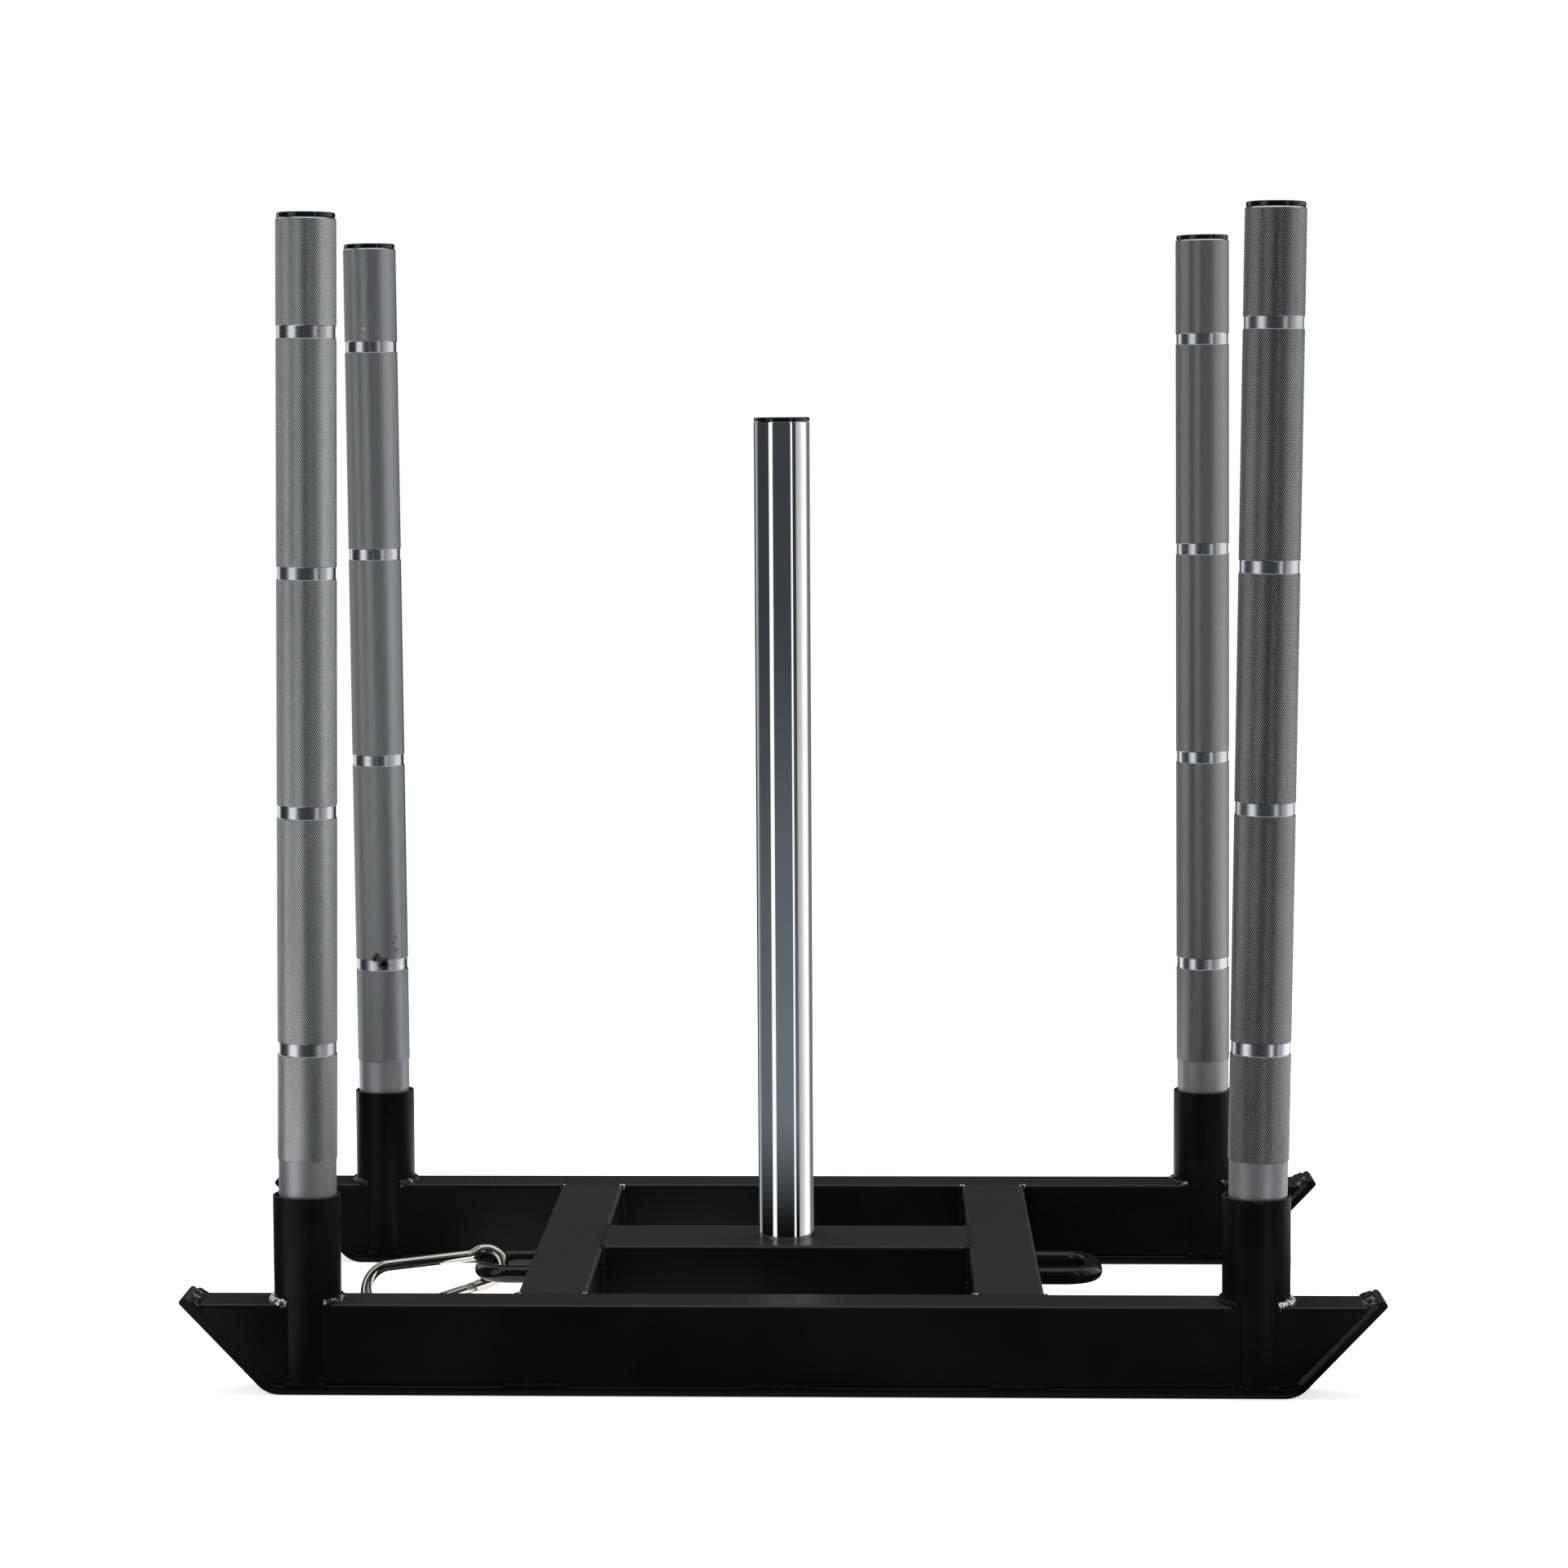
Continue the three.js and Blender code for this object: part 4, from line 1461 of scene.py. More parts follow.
    def gate_piece(self) -> None:
        """Turn the gate and cut the slots for its hinge and for the nose."""
        radius, chamfer = self.gate / 2, self.gate_chamfer
        profile = [
            *rounded_edge((0, self.hinge), radius, -85, -1, 7),
            (radius, self.hinge),
            (radius, self.gate_end - chamfer),
            (radius - chamfer, self.gate_end),
        ]
        piece = turned("hook_gate_bar", profile, 48)
        place(piece, Matrix.Rotation(QUARTER, 4, "Y"))
        half, wide = self.tongue / 2 + self.fork_gap, self.gate
        spans = (
            (self.hinge - wide, self.hinge + self.fork_depth),
            (self.gate_end - self.latch_slot, self.gate_end + wide),
        )
        slots = [
            Workpiece.block("cutter", (first, -wide, -half), (last, wide, half)).finish()
            for first, last in spans
        ]
        cut_by(piece, slots)
        even_shading(piece, 40)
        place(piece, self.gate_place)
        stand_in(piece, "hook_gate", "snap_hook_gate", Slot.NICKEL, self.nickel)


@dataclass
class Welds:
    """Weld beads as rows of overlapping ripples, and ground fillings flush with the deck's top."""

    coat: Material
    bead_coat: Material
    dull_coat: Material
    worn_coat: Material
    highlight_bead_coat: Material
    bend: PlateBend = PlateBend()
    runner_corner: float = 4.0 * MM
    deck_corner: float = 5.0 * MM
    stitches: tuple[Span, ...] = ((-0.230, -0.181), (-0.027, 0.025), (0.178, 0.223))
    # Half length, half width and half height of a ripple in each sort of row.
    tip_size: Point = in_mm(2.4, 4.2, 2.6)
    seam_size: Point = in_mm(3.0, 2.2, 1.2)
    stitch_size: Point = in_mm(3.0, 2.6, 2.2)
    foot_size: Point = in_mm(5.0, 3.0, 2.4)
    socket_size: Point = in_mm(4.6, 4.2, 3.5)
    corner_size: Point = in_mm(2.0, 2.8, 2.2)
    blob_size: Point = in_mm(2.6, 2.6, 2.0)
    loop_size: Point = in_mm(1.8, 2.4, 2.0)
    # How far a row's middle line stands off the faces and ends of what it joins.
    bead_in: float = 0.4 * MM
    stitch_in: float = 1.2 * MM
    foot_lift: float = 1.6 * MM
    foot_inset: float = 14.0 * MM
    socket_lift: float = 0.6 * MM
    tip_inset: float = 2.0 * MM
    tip_rows: tuple[Span, ...] = (in_mm(1.0, 0.8), in_mm(5.0, -0.9))  # distance back and height
    corner_in: float = 0.6 * MM
    corner_drop: float = 1.5 * MM
    corner_run: float = 3.0 * MM
    loop_proud: float = 0.8 * MM
    spacing: float = 0.8  # from ripple to ripple, of a ripple's half length
    swell: float = 0.16
    stray: float = 0.10
    ripple_tilt: float = math.radians(18)
    socket_radius: float = 29.3 * MM
    socket_reach: float = math.radians(52)
    # arcs on the sockets' sides that catch the light, which get the weld with painted highlight
    highlight_arcs: tuple[tuple[Side, End, int], ...] = (
        (Side.RIGHT, End.REAR, -1),
        (Side.RIGHT, End.FRONT, 1),
    )
    dull_arc: tuple[Side, End, int] = (Side.RIGHT, End.FRONT, -1)
    filling_depth: float = 2.5 * MM
    filling_draft: float = 0.92
    rows: list[Object] = field(default_factory=list)
    chance: random.Random = field(default_factory=lambda: random.Random(7))

    def build(self) -> None:
        """Make the welds of both sides, of the deck and of the tow loops."""
        clear_selection()
        bpy.ops.mesh.primitive_ico_sphere_add(subdivisions=2, radius=1)
        ripple = Workpiece("ripple")
        ripple.pick("faces", lambda f: True).resize((0.75, 1.0, 1.0), (0, 0, 0))
        self.ripple = ripple.finish(80)
        for side in Side:
            self.side(side)
        self.deck()
        self.loops()
        self.fillings()
        bpy.data.objects.remove(self.ripple)

    def row(
        self, points: Sequence[Vector], out: Vector | None, size: Point, centre: Vector | None = None
    ) -> None:
        """Lay one row of ripples.

        Args:
            points: Middle of each ripple, in order.
            out: Direction in which the bead stands proud, or none where it follows a centre.
            size: Half length, half width and half height of a ripple.
            centre: The bead stands proud away from this point and upwards.
        """
        for number, point in enumerate(points):
            ahead = points[min(number + 1, len(points) - 1)] - points[max(number - 1, 0)]
            ahead.normalize()
            up = out if out is not None else (point - centre).normalized() + Vector((0, 0, 1))
            across = up.cross(ahead).normalized()
            up = ahead.cross(across).normalized()
            turn = Matrix((ahead, across, up)).transposed().to_4x4()
            tilt = Matrix.Rotation(-self.ripple_tilt, 4, "Y")
            swell = 1 + self.chance.uniform(-self.swell, self.swell)
            scale = Matrix.Diagonal((*(swell * value for value in size), 1))
            stray = Vector(self.chance.uniform(-self.stray, self.stray) * size[1] for _ in range(3))
            one = copy_of(self.ripple, "ripple_copy")
            one.data.transform(Matrix.Translation(point + stray) @ turn @ tilt @ scale)
            self.rows.append(one)

    def line(self, start: Sequence[float], stop: Sequence[float], out: Point, size: Point) -> None:
        """Lay a straight row.

        Args:
            start: Middle of the first ripple.
            stop: Middle of the last ripple.
            out: Direction in which the bead stands proud.
            size: Half length, half width and half height of a ripple.
        """
        first, last = Vector(start), Vector(stop)
        count = max(2, round((last - first).length / (self.spacing * size[0])))
        points = [first.lerp(last, i / (count - 1)) for i in range(count)]
        self.row(points, Vector(out).normalized(), size)

    def gather(self, name: str, material: Material) -> None:
        """Join the rows that were laid into one piece."""
        add_weld(joined(name, self.rows), material)
        self.rows.clear()

    def side(self, side: Side) -> None:
        """Lay the welds of one runner.

        Args:
            side: The runner's side.
        """
        low, high = box_of(f"runner_{side.value}")
        bend = self.bend
        foot_x = bend.start(side) + bend.inside * math.sin(bend.slope)
        foot_z = bend.plate + bend.inside * (1 - math.cos(bend.slope))
        foot = (foot_x, foot_z)
        tip = (foot_x + (high.z - foot_z) / math.tan(bend.slope), high.z)
        faces = ((low.y, -1), (high.y, 1))
        for end in End:
            self.tip(end, tip[0], low, high)
        for arc in [(side, end, facing) for end in End for facing in (1, -1)]:
            if arc not in self.highlight_arcs and arc != self.dull_arc:
                self.socket(*arc)
        self.gather(f"welds_runner_{side.value}", self.bead_coat)
        if side is Side.RIGHT:
            # painted highlight: the arcs that catch the light get the brighter weld
            for arc in self.highlight_arcs:
                self.socket(*arc)
                self.gather(f"weld_{arc[1].value}_{side.value}", self.highlight_bead_coat)
            self.socket(*self.dull_arc)
        for face_y, outward in faces:
            self.feet(side, face_y, outward)
            self.seam(End.REAR, foot, tip, face_y, outward)
        self.gather(f"welds_dull_{side.value}", self.dull_coat)
        # painted highlight: the front seams get the weld with the lighter coat
        for face_y, outward in faces:
            self.seam(End.FRONT, foot, tip, face_y, outward)
        self.gather(f"welds_worn_{side.value}", self.worn_coat)

    def tip(self, end: End, tip_x: float, low: Vector, high: Vector) -> None:
        """Lay two rows across a runner's end, where it meets the turned-up plate.

        Args:
            end: The runner's end.
            tip_x: Distance along X of the runner's upper corner.
            low: The runner's lowest corner.
            high: The runner's highest corner.
        """
        for back, level in self.tip_rows:
            x, z = end.sign * (tip_x - back), high.z + level
            start, stop = (x, low.y + self.tip_inset, z), (x, high.y - self.tip_inset, z)
            self.line(start, stop, (-end.sign, 0, 1.2), self.tip_size)

    def feet(self, side: Side, face_y: float, outward: int) -> None:
        """Lay the stitches and the sockets' beads between one face of a runner and its plate.

        Args:
            side: The runner's side.
            face_y: The face's Y.
            outward: Sign of the face's normal.
        """
        y, z = face_y - outward * self.stitch_in, self.bend.plate + self.stitch_in
        for first, last in self.stitches:
            self.line((first, y, z), (last, y, z), (0, outward, 0.7), self.stitch_size)
        y, z = face_y - outward * self.bead_in, self.bend.plate + self.foot_lift
        for end in End:
            low, high = box_of(f"socket_{end.value}_{side.value}")
            start, stop = (low.x + self.foot_inset, y, z), (high.x - self.foot_inset, y, z)
            self.line(start, stop, (0, outward, 0.5), self.foot_size)

    def seam(self, end: End, foot: Span, tip: Span, face_y: float, outward: int) -> None:
        """Lay the sloping seam at one end of one face of a runner.

        Args:
            end: The runner's end.
            foot: X and Z at which the seam starts.
            tip: X and Z at which it ends.
            face_y: The face's Y.
            outward: Sign of the face's normal.
        """
        y = face_y - outward * self.bead_in
        start, stop = ((end.sign * x, y, z) for x, z in (foot, tip))
        self.line(start, stop, (0, outward, 0), self.seam_size)

    def socket(self, side: Side, end: End, facing: int) -> None:
        """Lay one arc of weld round a socket on the runner's top.

        Args:
            side: The socket's side.
            end: The socket's end.
            facing: 1 for the arc that faces +X, -1 for the one that faces -X.
        """
        low, high = box_of(f"socket_{end.value}_{side.value}")
        _, runner_high = box_of(f"runner_{side.value}")
        middle = Vector(((low.x + high.x) / 2, (low.y + high.y) / 2, runner_high.z))
        radius = self.socket_radius * facing
        points = [
            middle + Vector((math.cos(a) * radius, math.sin(a) * radius, self.socket_lift))
            for a in (self.socket_reach * (i / 8 - 1) for i in range(17))
        ]
        self.row(points, None, self.socket_size, middle)

    def deck(self) -> None:
        """Lay the upright welds in the corners of the deck."""
        blobs = []
        _, beam_high = box_of("centre_beam")
        for end in End:
            low, high = box_of(f"crossbar_{end.value}")
            bottom, top = low.z + self.deck_corner, high.z - self.corner_drop
            for side in Side:
                edge = side.sign * (high.y - self.corner_in)
                for x, facing in ((low.x, -1), (high.x, 1)):
                    spot = (x + facing * self.bead_in, edge)
                    out = (facing, -side.sign, 0)
                    self.line((*spot, bottom), (*spot, top), out, self.corner_size)
                    corner = (spot[0] - facing * self.corner_run, edge, top)
                    blobs.append(((*spot, top), corner, (*out[:2], 1), self.blob_size))
                inner = low.x if end is End.FRONT else high.x
                beam_edge = side.sign * (beam_high.y + self.bead_in)
                spot = (inner - end.sign * self.corner_in, beam_edge)
                out = (-end.sign, side.sign, 0)
                self.line((*spot, bottom), (*spot, top), out, self.corner_size)
        self.gather("welds_deck", self.dull_coat)
        # painted highlight: bright blobs at the deck's top corners
        for blob in blobs:
            self.line(*blob)
        self.gather("welds_deck_corners", self.highlight_bead_coat)

    def loops(self) -> None:
        """Lay a ring of weld round each leg of the tow loops."""
        turns = [math.radians(15 * i) for i in range(25)]
        for end in End:
            low, high = box_of(f"tow_loop_{end.value}")
            bar = (high.z - low.z) / 2
            radius = bar + self.loop_proud
            proud = end.sign * self.loop_proud
            face = min(abs(low.x), abs(high.x)) * end.sign
            for leg in (-1, 1):
                middle = Vector((face, leg * (high.y - bar), (low.z + high.z) / 2))
                points = [
                    middle + Vector((proud, radius * math.cos(t), radius * math.sin(t)))
                    for t in turns
                ]
                for first, last in zip(points, points[1:]):
                    out = (first - middle).normalized() + Vector((end.sign, 0, 0))
                    self.row([first, last], out, self.loop_size)
        self.gather("welds_tow_loops", self.bead_coat)

    def fillings(self) -> None:
        """Fill the grooves between the deck's tubes, ground flush with their tops."""
        strips = []
        inset = self.deck_corner
        _, beam_high = box_of("centre_beam")
        for end in End:
            low, high = box_of(f"crossbar_{end.value}")
            for side in Side:
                near, far = side.sign * high.y, side.sign * (high.y + self.runner_corner)
                strips.append(((low.x + inset, near), (high.x - inset, far)))
            inner = low.x if end is End.FRONT else high.x
            beam_inset = beam_high.y - inset
            strips.append(((inner, -beam_inset), (inner + end.sign * inset, beam_inset)))
        pieces = []
        top = beam_high.z
        for (x0, y0), (x1, y1) in strips:
            low = Vector((min(x0, x1), min(y0, y1), top - self.filling_depth))
            high = Vector((max(x0, x1), max(y0, y1), top))
            work = Workpiece.block("filling", low, high)
            work.pick("faces", lambda f: f.normal.z < -ALONG)
            work.resize((self.filling_draft, self.filling_draft, 1), (low + high) / 2)
            pieces.append(work.finish())
        add_weld(joined("weld_fillings", pieces), self.coat)


@dataclass
class SmallParts:
    """Inner and hidden pieces that keep their own solids."""

    nickel: Material
    zinc: Material
    nickel_nodes: tuple[str, ...] = ("hook_gate_rivet", "hook_latch_pin")
    zinc_nodes: tuple[str, ...] = (
        "post_foot_plug",
        "post_bolt",
        "post_washer",
        "hook_gate_spring",
        "hook_gate_plunger",
    )

    def build(self) -> None:
        """Give each piece its finish."""
        for names, material in ((self.nickel_nodes, self.nickel), (self.zinc_nodes, self.zinc)):
            for name in names:
                coat(frame["nodes"][name], material)
                log.info("%s keeps its solid", name)


# Studio


@dataclass(frozen=True)
class Lamp:
    """A soft lamp that only lights things."""

    name: str
    spot: Point
    size: Span
    power: float
    aim: Point = (0, 0, 0.3)

    def build(self) -> None:
        """Hang the lamp and turn it to its aim."""
        lamp = bpy.data.lights.new(self.name, "AREA")
        lamp.shape = "RECTANGLE"
        lamp.size, lamp.size_y = self.size
        lamp.energy = self.power
        holder = bpy.data.objects.new(self.name, lamp)
        holder.visible_camera = False
        holder.visible_glossy = False
        holder.location = self.spot
        towards = Vector(self.aim) - Vector(self.spot)
        holder.rotation_euler = towards.to_track_quat("-Z", "Y").to_euler()
        bpy.context.collection.objects.link(holder)


@dataclass
class Studio:
    """White floor and world, dark flags round a skylight that shape reflections, and soft lamps."""

    diffuse_level: float = 0.35
    floor_glow: float = 0.72
    floor_grey: float = 0.9
    floor_size: float = 24.0
    floor_drop: float = 0.5 * MM
    flag_radius: float = 7.0
    flag_height: float = 9.0
    flag_foot: float = 1.0  # radius at which a flag's strip of floor starts
    skylight: float = 4.4
    cloths: tuple[tuple[Span, Span], ...] = (
        ((-1.3, -1.25), (1.3, -0.31)),
        ((-0.34, -0.31), (1.3, 0.25)),
        ((-1.3, 0.08), (-0.34, 0.25)),
    )
    cloth_height: float = 0.2 * MM
    cloth_level: float = 0.02
    # Each flag spans two bearings in degrees, counted from the camera's side towards +X.
    flags: tuple[Band, ...] = (
        (-180.0, -144.0, 0.02),
        (-118.0, -66.0, 0.03),
        (-36.5, 37.0, 0.05),
        (46.0, 61.0, 0.03),
        (61.0, 86.0, 0.5),
        (135.0, 180.0, 0.02),
    )
    # What the chromed post reflects, all the way round.
    post_bands: tuple[Band, ...] = (
        (-180.0, -175.0, 0.75),
        (-175.0, -141.0, 0.02),
        (-141.0, -130.0, 0.55),
        (-130.0, -118.0, 0.24),
        (-118.0, -54.0, 0.041),
        (-54.0, -37.0, 1.05),
        (-37.0, 38.0, 0.05),
        (38.0, 45.5, 1.05),
        (45.5, 61.0, 0.04),
        (61.0, 69.0, 0.42),
        (69.0, 82.0, 0.56),
        (82.0, 91.0, 0.78),
        (91.0, 121.0, 1.05),
        (121.0, 130.0, 0.35),
        (130.0, 175.0, 0.17),
        (175.0, 180.0, 0.9),
    )
    post_radius: float = 25.0 * MM
    ring_radius: float = 36.0 * MM
    ring_span: Span = (78.8 * MM, 840.0 * MM)
    # Dark bands of the ring, up to this grey, are cool and change with height, as the floor's
    # image in the post does: heights of each change, and the shares that it starts and ends at.
    shaded_to: float = 0.1
    shade_rise: tuple[float, ...] = (0.079, 0.20, 0.1, 3.3)
    shade_fall: tuple[float, ...] = (0.20, 0.70, 1.0, 0.3)
    cool: Point = (0.88, 1.0, 1.1)
    lamps: tuple[Lamp, ...] = (
        Lamp("overhead", (0.0, 0.3, 2.9), (2.6, 1.8), 60.0),
        Lamp("key", (-1.9, -1.6, 2.2), (1.2, 1.2), 8.0),
        Lamp("back", (0.4, 2.6, 3.4), (2.6, 1.0), 8.0),
    )

    def build(self) -> None:
        """Make the world, the floor, the flags, the post's ring, the cloths and the lamps."""
        self.world()
        self.floor()
        low, high = self.cloth_height, self.flag_height
        outline = (
            (self.flag_foot, low),
            (self.flag_radius, low),
            (self.flag_radius, high),
            (self.skylight, high),
        )
        for number, (start, stop, level) in enumerate(self.flags):
            self.arc_card(f"flag_{number}", (start, stop), outline, level)
        self.post_ring()
        self.floor_cloths()
        for lamp in self.lamps:
            lamp.build()

    def seen(self, graph: Graph) -> Socket:
        """Give 1 for rays that see the background and 0 for those that only light things.

        Args:
            graph: Graph of the world or of the floor.

        Returns:
            The value.
        """
        path = graph.node("LightPath").outputs
        either = graph.math("MAXIMUM", path["Is Camera Ray"], path["Is Glossy Ray"])
        return graph.math("MAXIMUM", either, path["Is Transmission Ray"])

    def world(self) -> None:
        """Make a white background that lights the scene at a plain level."""
        world = bpy.data.worlds.new("studio")
        world.use_nodes = True
        graph = Graph(world.node_tree)
        level = graph.remap(self.seen(graph), 0.0, 1.0, self.diffuse_level, 1.0)
        shade = graph.node("Background", Color=(1, 1, 1, 1), Strength=level)
        graph.node("OutputWorld", Surface=shade.outputs[0])
        bpy.context.scene.world = world

    def floor(self) -> None:
        """Make the plain white floor."""
        clear_selection()
        bpy.ops.mesh.primitive_plane_add(size=self.floor_size, location=(0, 0, -self.floor_drop))
        floor = bpy.context.object
        floor.name = "floor"
        material, graph = new_material("floor")
        matt = graph.node("BsdfDiffuse", Color=(*grey(self.floor_grey), 1))
        level = graph.math("MULTIPLY", self.seen(graph), self.floor_glow)
        glow = graph.node("Emission", Strength=level)
        both = graph.node("AddShader", i0=matt.outputs[0], i1=glow.outputs[0])
        graph.node("OutputMaterial", Surface=both.outputs[0])
        coat(floor, material)

    def card(self, name: str, work: Workpiece, level: float, near: bool = False) -> None:
        """Finish a card that only reflections see.

        Args:
            name: Name of the card's material.
            work: Its mesh.
            level: Its grey.
            near: Whether it stands close to the post, where only the post's mirror sees it.
        """
        piece = work.finish()
        material, graph = new_material(name)
        colour, strength = grey(level), 1.0
        if level <= self.shaded_to:
            colour = tuple(share * level for share in self.cool)
        if near and level <= self.shaded_to:
            height = graph.axes("Object")[2]
            rise = graph.remap(height, *self.shade_rise)
            strength = graph.math("MULTIPLY", rise, graph.remap(height, *self.shade_fall))
        shader = graph.node("Emission", Color=(*colour, 1.0), Strength=strength)
        if near:
            mirrored = graph.node("LightPath").outputs["Is Singular Ray"]
            clear = graph.node("BsdfTransparent")
            shader = graph.node("MixShader", i0=mirrored, i1=clear.outputs[0], i2=shader.outputs[0])
        graph.node("OutputMaterial", Surface=shader.outputs[0])
        coat(piece, material)
        piece.visible_camera = False
        piece.visible_diffuse = False
        piece.visible_shadow = False

    def arc_card(
        self, name: str, span: Span, outline: Sequence[Span], level: float, near: bool = False
    ) -> None:
        """Make a card that is a slice of a turned shape about the post's axis.

        Args:
            name: Name of the card.
            span: First and last bearing in degrees.
            outline: Points (radius, height) of the slice.
            level: Its grey.
            near: Whether it stands close to the post.
        """
        clear_selection()
        bpy.ops.mesh.primitive_plane_add(size=1)
        work = Workpiece(name)
        work.pick("verts", lambda v: v.co.x > 0 or v.co.y > 0)
        bpy.ops.mesh.delete(type="VERT")
        bearing = math.radians(span[0])
        outward = Vector((math.sin(bearing), -math.cos(bearing), 0))
        radius, height = outline[0]
        work.pick("verts", lambda v: True)
        lift = Vector((0.5, 0.5, height))
        bpy.ops.transform.translate(value=outward * radius + lift)
        for new_radius, new_height in outline[1:]:
            work.extrude(outward * (new_radius - radius) + Vector((0, 0, new_height - height)))
            radius, height = new_radius, new_height
        work.pick("verts", lambda v: True)
        turn = span[1] - span[0]
        work.spin((0, 0, 0), (0, 0, 1), math.radians(turn), max(4, int(turn / 4)))
        self.card(name, work, level, near)

    def near_bearing(self, bearing: float) -> float:
        """Give the bearing on the ring at which the post sees a far bearing.

        Args:
            bearing: The far bearing in degrees.

        Returns:
            The near bearing in degrees. Straight behind the post the two are the same.
        """
        if abs(bearing) == 180:
            return bearing
        offset = self.post_radius * math.sin(math.radians(bearing / 2))
        return bearing - math.degrees(math.asin(offset / self.ring_radius))

    def post_ring(self) -> None:
        """Stand a close ring of cards round the post, for the bands that its chrome reflects."""
        outline = [(self.ring_radius, height) for height in self.ring_span]
        for number, (start, stop, level) in enumerate(self.post_bands):
            span = (self.near_bearing(start), self.near_bearing(stop))
            self.arc_card(f"post_band_{number}", span, outline, level, True)

    def floor_cloths(self) -> None:
        """Lay dark cloths before and under the sled, with the floor left white beside the hook."""
        for number, (near, far) in enumerate(self.cloths):
            low, high = Vector((*near, self.cloth_height)), Vector((*far, self.cloth_height))
            clear_selection()
            bpy.ops.mesh.primitive_plane_add(size=1, location=(low + high) / 2, scale=high - low)
            self.card(f"floor_cloth_{number}", Workpiece("floor_cloth"), self.cloth_level)


@dataclass
class ShotCamera:
    """The photograph's camera."""

    lens: float = 92.54
    sensor: float = 36.0
    place: Point = (0.0830, -3.6277, 0.8034)
    yaw: float = -0.05333
    pitch: float = 0.08566
    roll: float = 0.00835
    frame_px: float = 1920.0
    middle_px: float = 809.8  # where the lens axis meets the picture

    def build(self) -> None:
        """Set up the camera and the colour view."""
        level = Vector((math.cos(self.yaw), -math.sin(self.yaw), 0))
        ahead = Vector((math.sin(self.yaw), math.cos(self.yaw), 0))
        forward = math.cos(self.pitch) * ahead - math.sin(self.pitch) * Vector((0, 0, 1))
        down = forward.cross(level)
        right = math.cos(self.roll) * level + math.sin(self.roll) * down
        below = math.cos(self.roll) * down - math.sin(self.roll) * level
        turn = Matrix((right, -below, -forward)).transposed()
        data = bpy.data.cameras.new("camera")
        data.lens = self.lens
        data.sensor_width = self.sensor
        data.sensor_fit = "HORIZONTAL"
        data.shift_x = (self.frame_px / 2 - self.middle_px) / self.frame_px
        data.clip_end = 100
        camera = bpy.data.objects.new("camera", data)
        camera.matrix_world = Matrix.Translation(self.place) @ turn.to_4x4()
        bpy.context.collection.objects.link(camera)
        scene = bpy.context.scene
        scene.camera = camera
        scene.view_settings.view_transform = "Standard"


class Coats:
    """The powder coats."""

    def __init__(self) -> None:
        """Make each coat once."""
        rust = Spot((0.4000, -0.3010, 0.1720), 10 * MM, (0.10, 0.03, 0.008), 500.0)
        # the glossy loops' lighter colour on upper faces and roundings: a faint painted sheen and
        # highlight
        clean = (0.009, 0.0095, 0.009)
        self.frame = PowderCoat(spots=(rust,)).build()
        # the deck's copy has a lighter painted sheen on its level tops
        self.deck = PowderCoat("powder_coat_deck", dust_and_sheen=(0.0280, 0.0320, 0.0300)).build()
        self.loop = PowderCoat(
            name="powder_coat_glossy",
            gloss=0.38,
            dust_and_sheen=clean,
            worn=clean,
            rubbed=clean,
            roughness=(0.10, 0.17),
        ).build()
        self.plate = PowderCoat("powder_coat_plate", scraped_to=6 * MM).build()


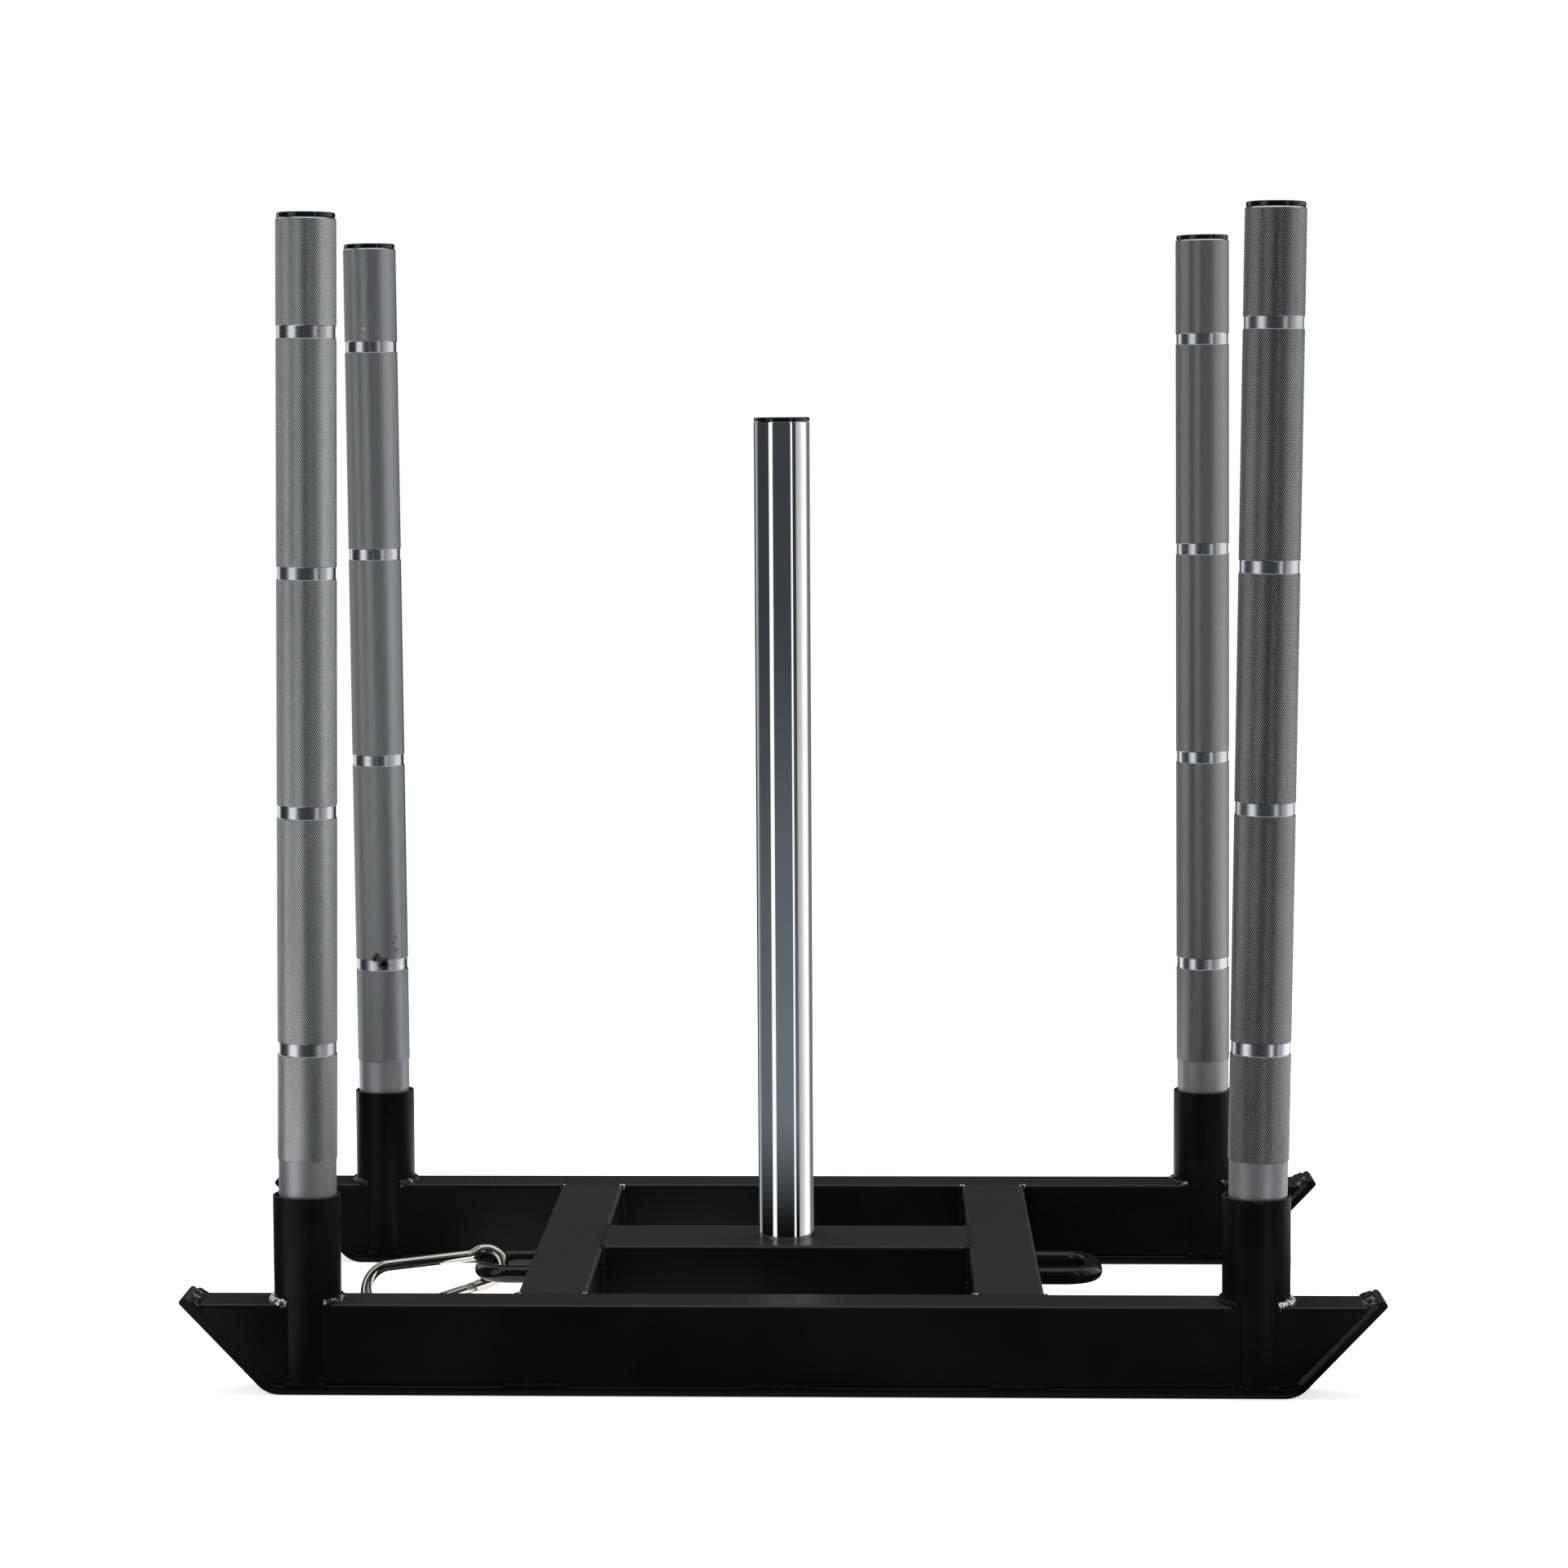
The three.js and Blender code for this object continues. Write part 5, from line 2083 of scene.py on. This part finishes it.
class Steels:
    """The uncoated and plated steels."""

    # Place, radius in millimetres, grey and raggedness of each mark on the rear left pole.
    SCUFFS = (
        ((-0.4033, 0.2498, 0.3009), 8, 0.04, 240.0),
        ((-0.3962, 0.2501, 0.2953), 9, 0.02, 220.0),
        ((-0.3852, 0.2550, 0.3211), 4, 0.22, 900.0),
        ((-0.3870, 0.2540, 0.3150), 3, 0.22, 900.0),
        ((-0.3839, 0.2561, 0.3081), 5, 0.20, 900.0),
        ((-0.4072, 0.2511, 0.9100), 3, 0.75, 200.0),
        ((-0.4085, 0.2515, 0.9030), 2.5, 0.75, 200.0),
    )

    def __init__(self) -> None:
        """Make each steel once. The poles' knurls are copies of one steel with painted light and shade,
        so theirs are given by the pole's place.
        """
        scuffs = tuple(Spot(at, r * MM, grey(level), ragged) for at, r, level, ragged in self.SCUFFS)
        ring = {
            "colour": (0.66, 0.68, 0.71),
            "tarnish": (0.50, 0.52, 0.54),
            "roughness": (0.23, 0.31),
        }
        plain_ring = BareSteel("satin_ring", **ring).build()
        self.grooved = dict.fromkeys(("rear_right", "front_right", "front_left"), plain_ring)
        self.grooved["rear_left"] = BareSteel("satin_ring_scuffed", spots=scuffs, **ring).build()
        self.foot = BareSteel(
            "satin_foot", (0.39, 0.405, 0.425), (0.29, 0.30, 0.32), (0.38, 0.48), metallic=0.65
        ).build()
        dark_valley_shade, faint_valley_shade = grey(0.002), (0.16, 0.17, 0.175)
        # painted light and shade: brighter ridges and darker valleys on the near poles, duller on the far
        # ones
        self.knurls = {
            where: KnurledSteel(f"knurled_steel_{where}", ridge, valley_shade, cut=cut, spots=spots).build()
            for where, ridge, valley_shade, cut, spots in (
                ("rear_right", (0.95, 0.98, 1.0), dark_valley_shade, 0.30, ()),
                ("front_right", (0.76, 0.79, 0.81), dark_valley_shade, 0.42, ()),
                ("rear_left", (0.50, 0.52, 0.54), faint_valley_shade, 0.22, scuffs),
                ("front_left", (0.42, 0.435, 0.45), faint_valley_shade, 0.22, ()),
            )
        }
        self.chrome = BareSteel(
            "post_chrome", (0.93, 0.94, 0.95), (0.84, 0.86, 0.88), (0.0, 0.0), mark_depth=0.002 * MM
        ).build()
        self.nickel = BareSteel(
            "hook_nickel", (0.67, 0.63, 0.555), (0.46, 0.425, 0.36), (0.06, 0.14), mark_depth=0.004 * MM
        ).build()
        self.zinc = BareSteel("zinc_fasteners").build()


class Beads:
    """The weld metals."""

    def __init__(self) -> None:
        """Make each weld metal once."""
        self.plain = WeldBead().build()
        self.dull = WeldBead("weld_dull", bare_from=0.9, roughness=(0.34, 0.46), gloss=0.16).build()
        # a lighter coat for the front seams: painted highlight
        self.worn = WeldBead("weld_worn", (0.030, 0.033, 0.029), bare_from=0.9, gloss=0.25).build()
        # a copy with brighter and more painted glints, for painted highlight
        self.bright = WeldBead("weld_bright", bare=(0.80, 0.82, 0.84), bare_from=0.40).build()


class PushSled:
    """The whole sled."""

    def build(self) -> None:
        """Make the finishes, then each sub-assembly."""
        Finish.groups = Groups()
        coats, steels, beads = Coats(), Steels(), Beads()
        plastic = MouldedPlastic().build()
        Runners(coats.frame, coats.plate).build()
        Sockets(coats.frame).build()
        Deck(coats.deck, coats.loop).build()
        Poles(steels.knurls, steels.grooved, steels.foot, plastic).build()
        WeightPost(steels.chrome, plastic).build()
        SnapHook(steels.nickel).build()
        SmallParts(steels.nickel, steels.zinc).build()
        Welds(coats.frame, beads.plain, beads.dull, beads.worn, beads.bright).build()


def main() -> None:
    """Build the camera, the sled and the studio."""
    logging.basicConfig(level=logging.INFO)
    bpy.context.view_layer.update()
    ShotCamera().build()
    PushSled().build()
    Studio().build()
    clear_selection()


if __name__ == "__main__":
    main()
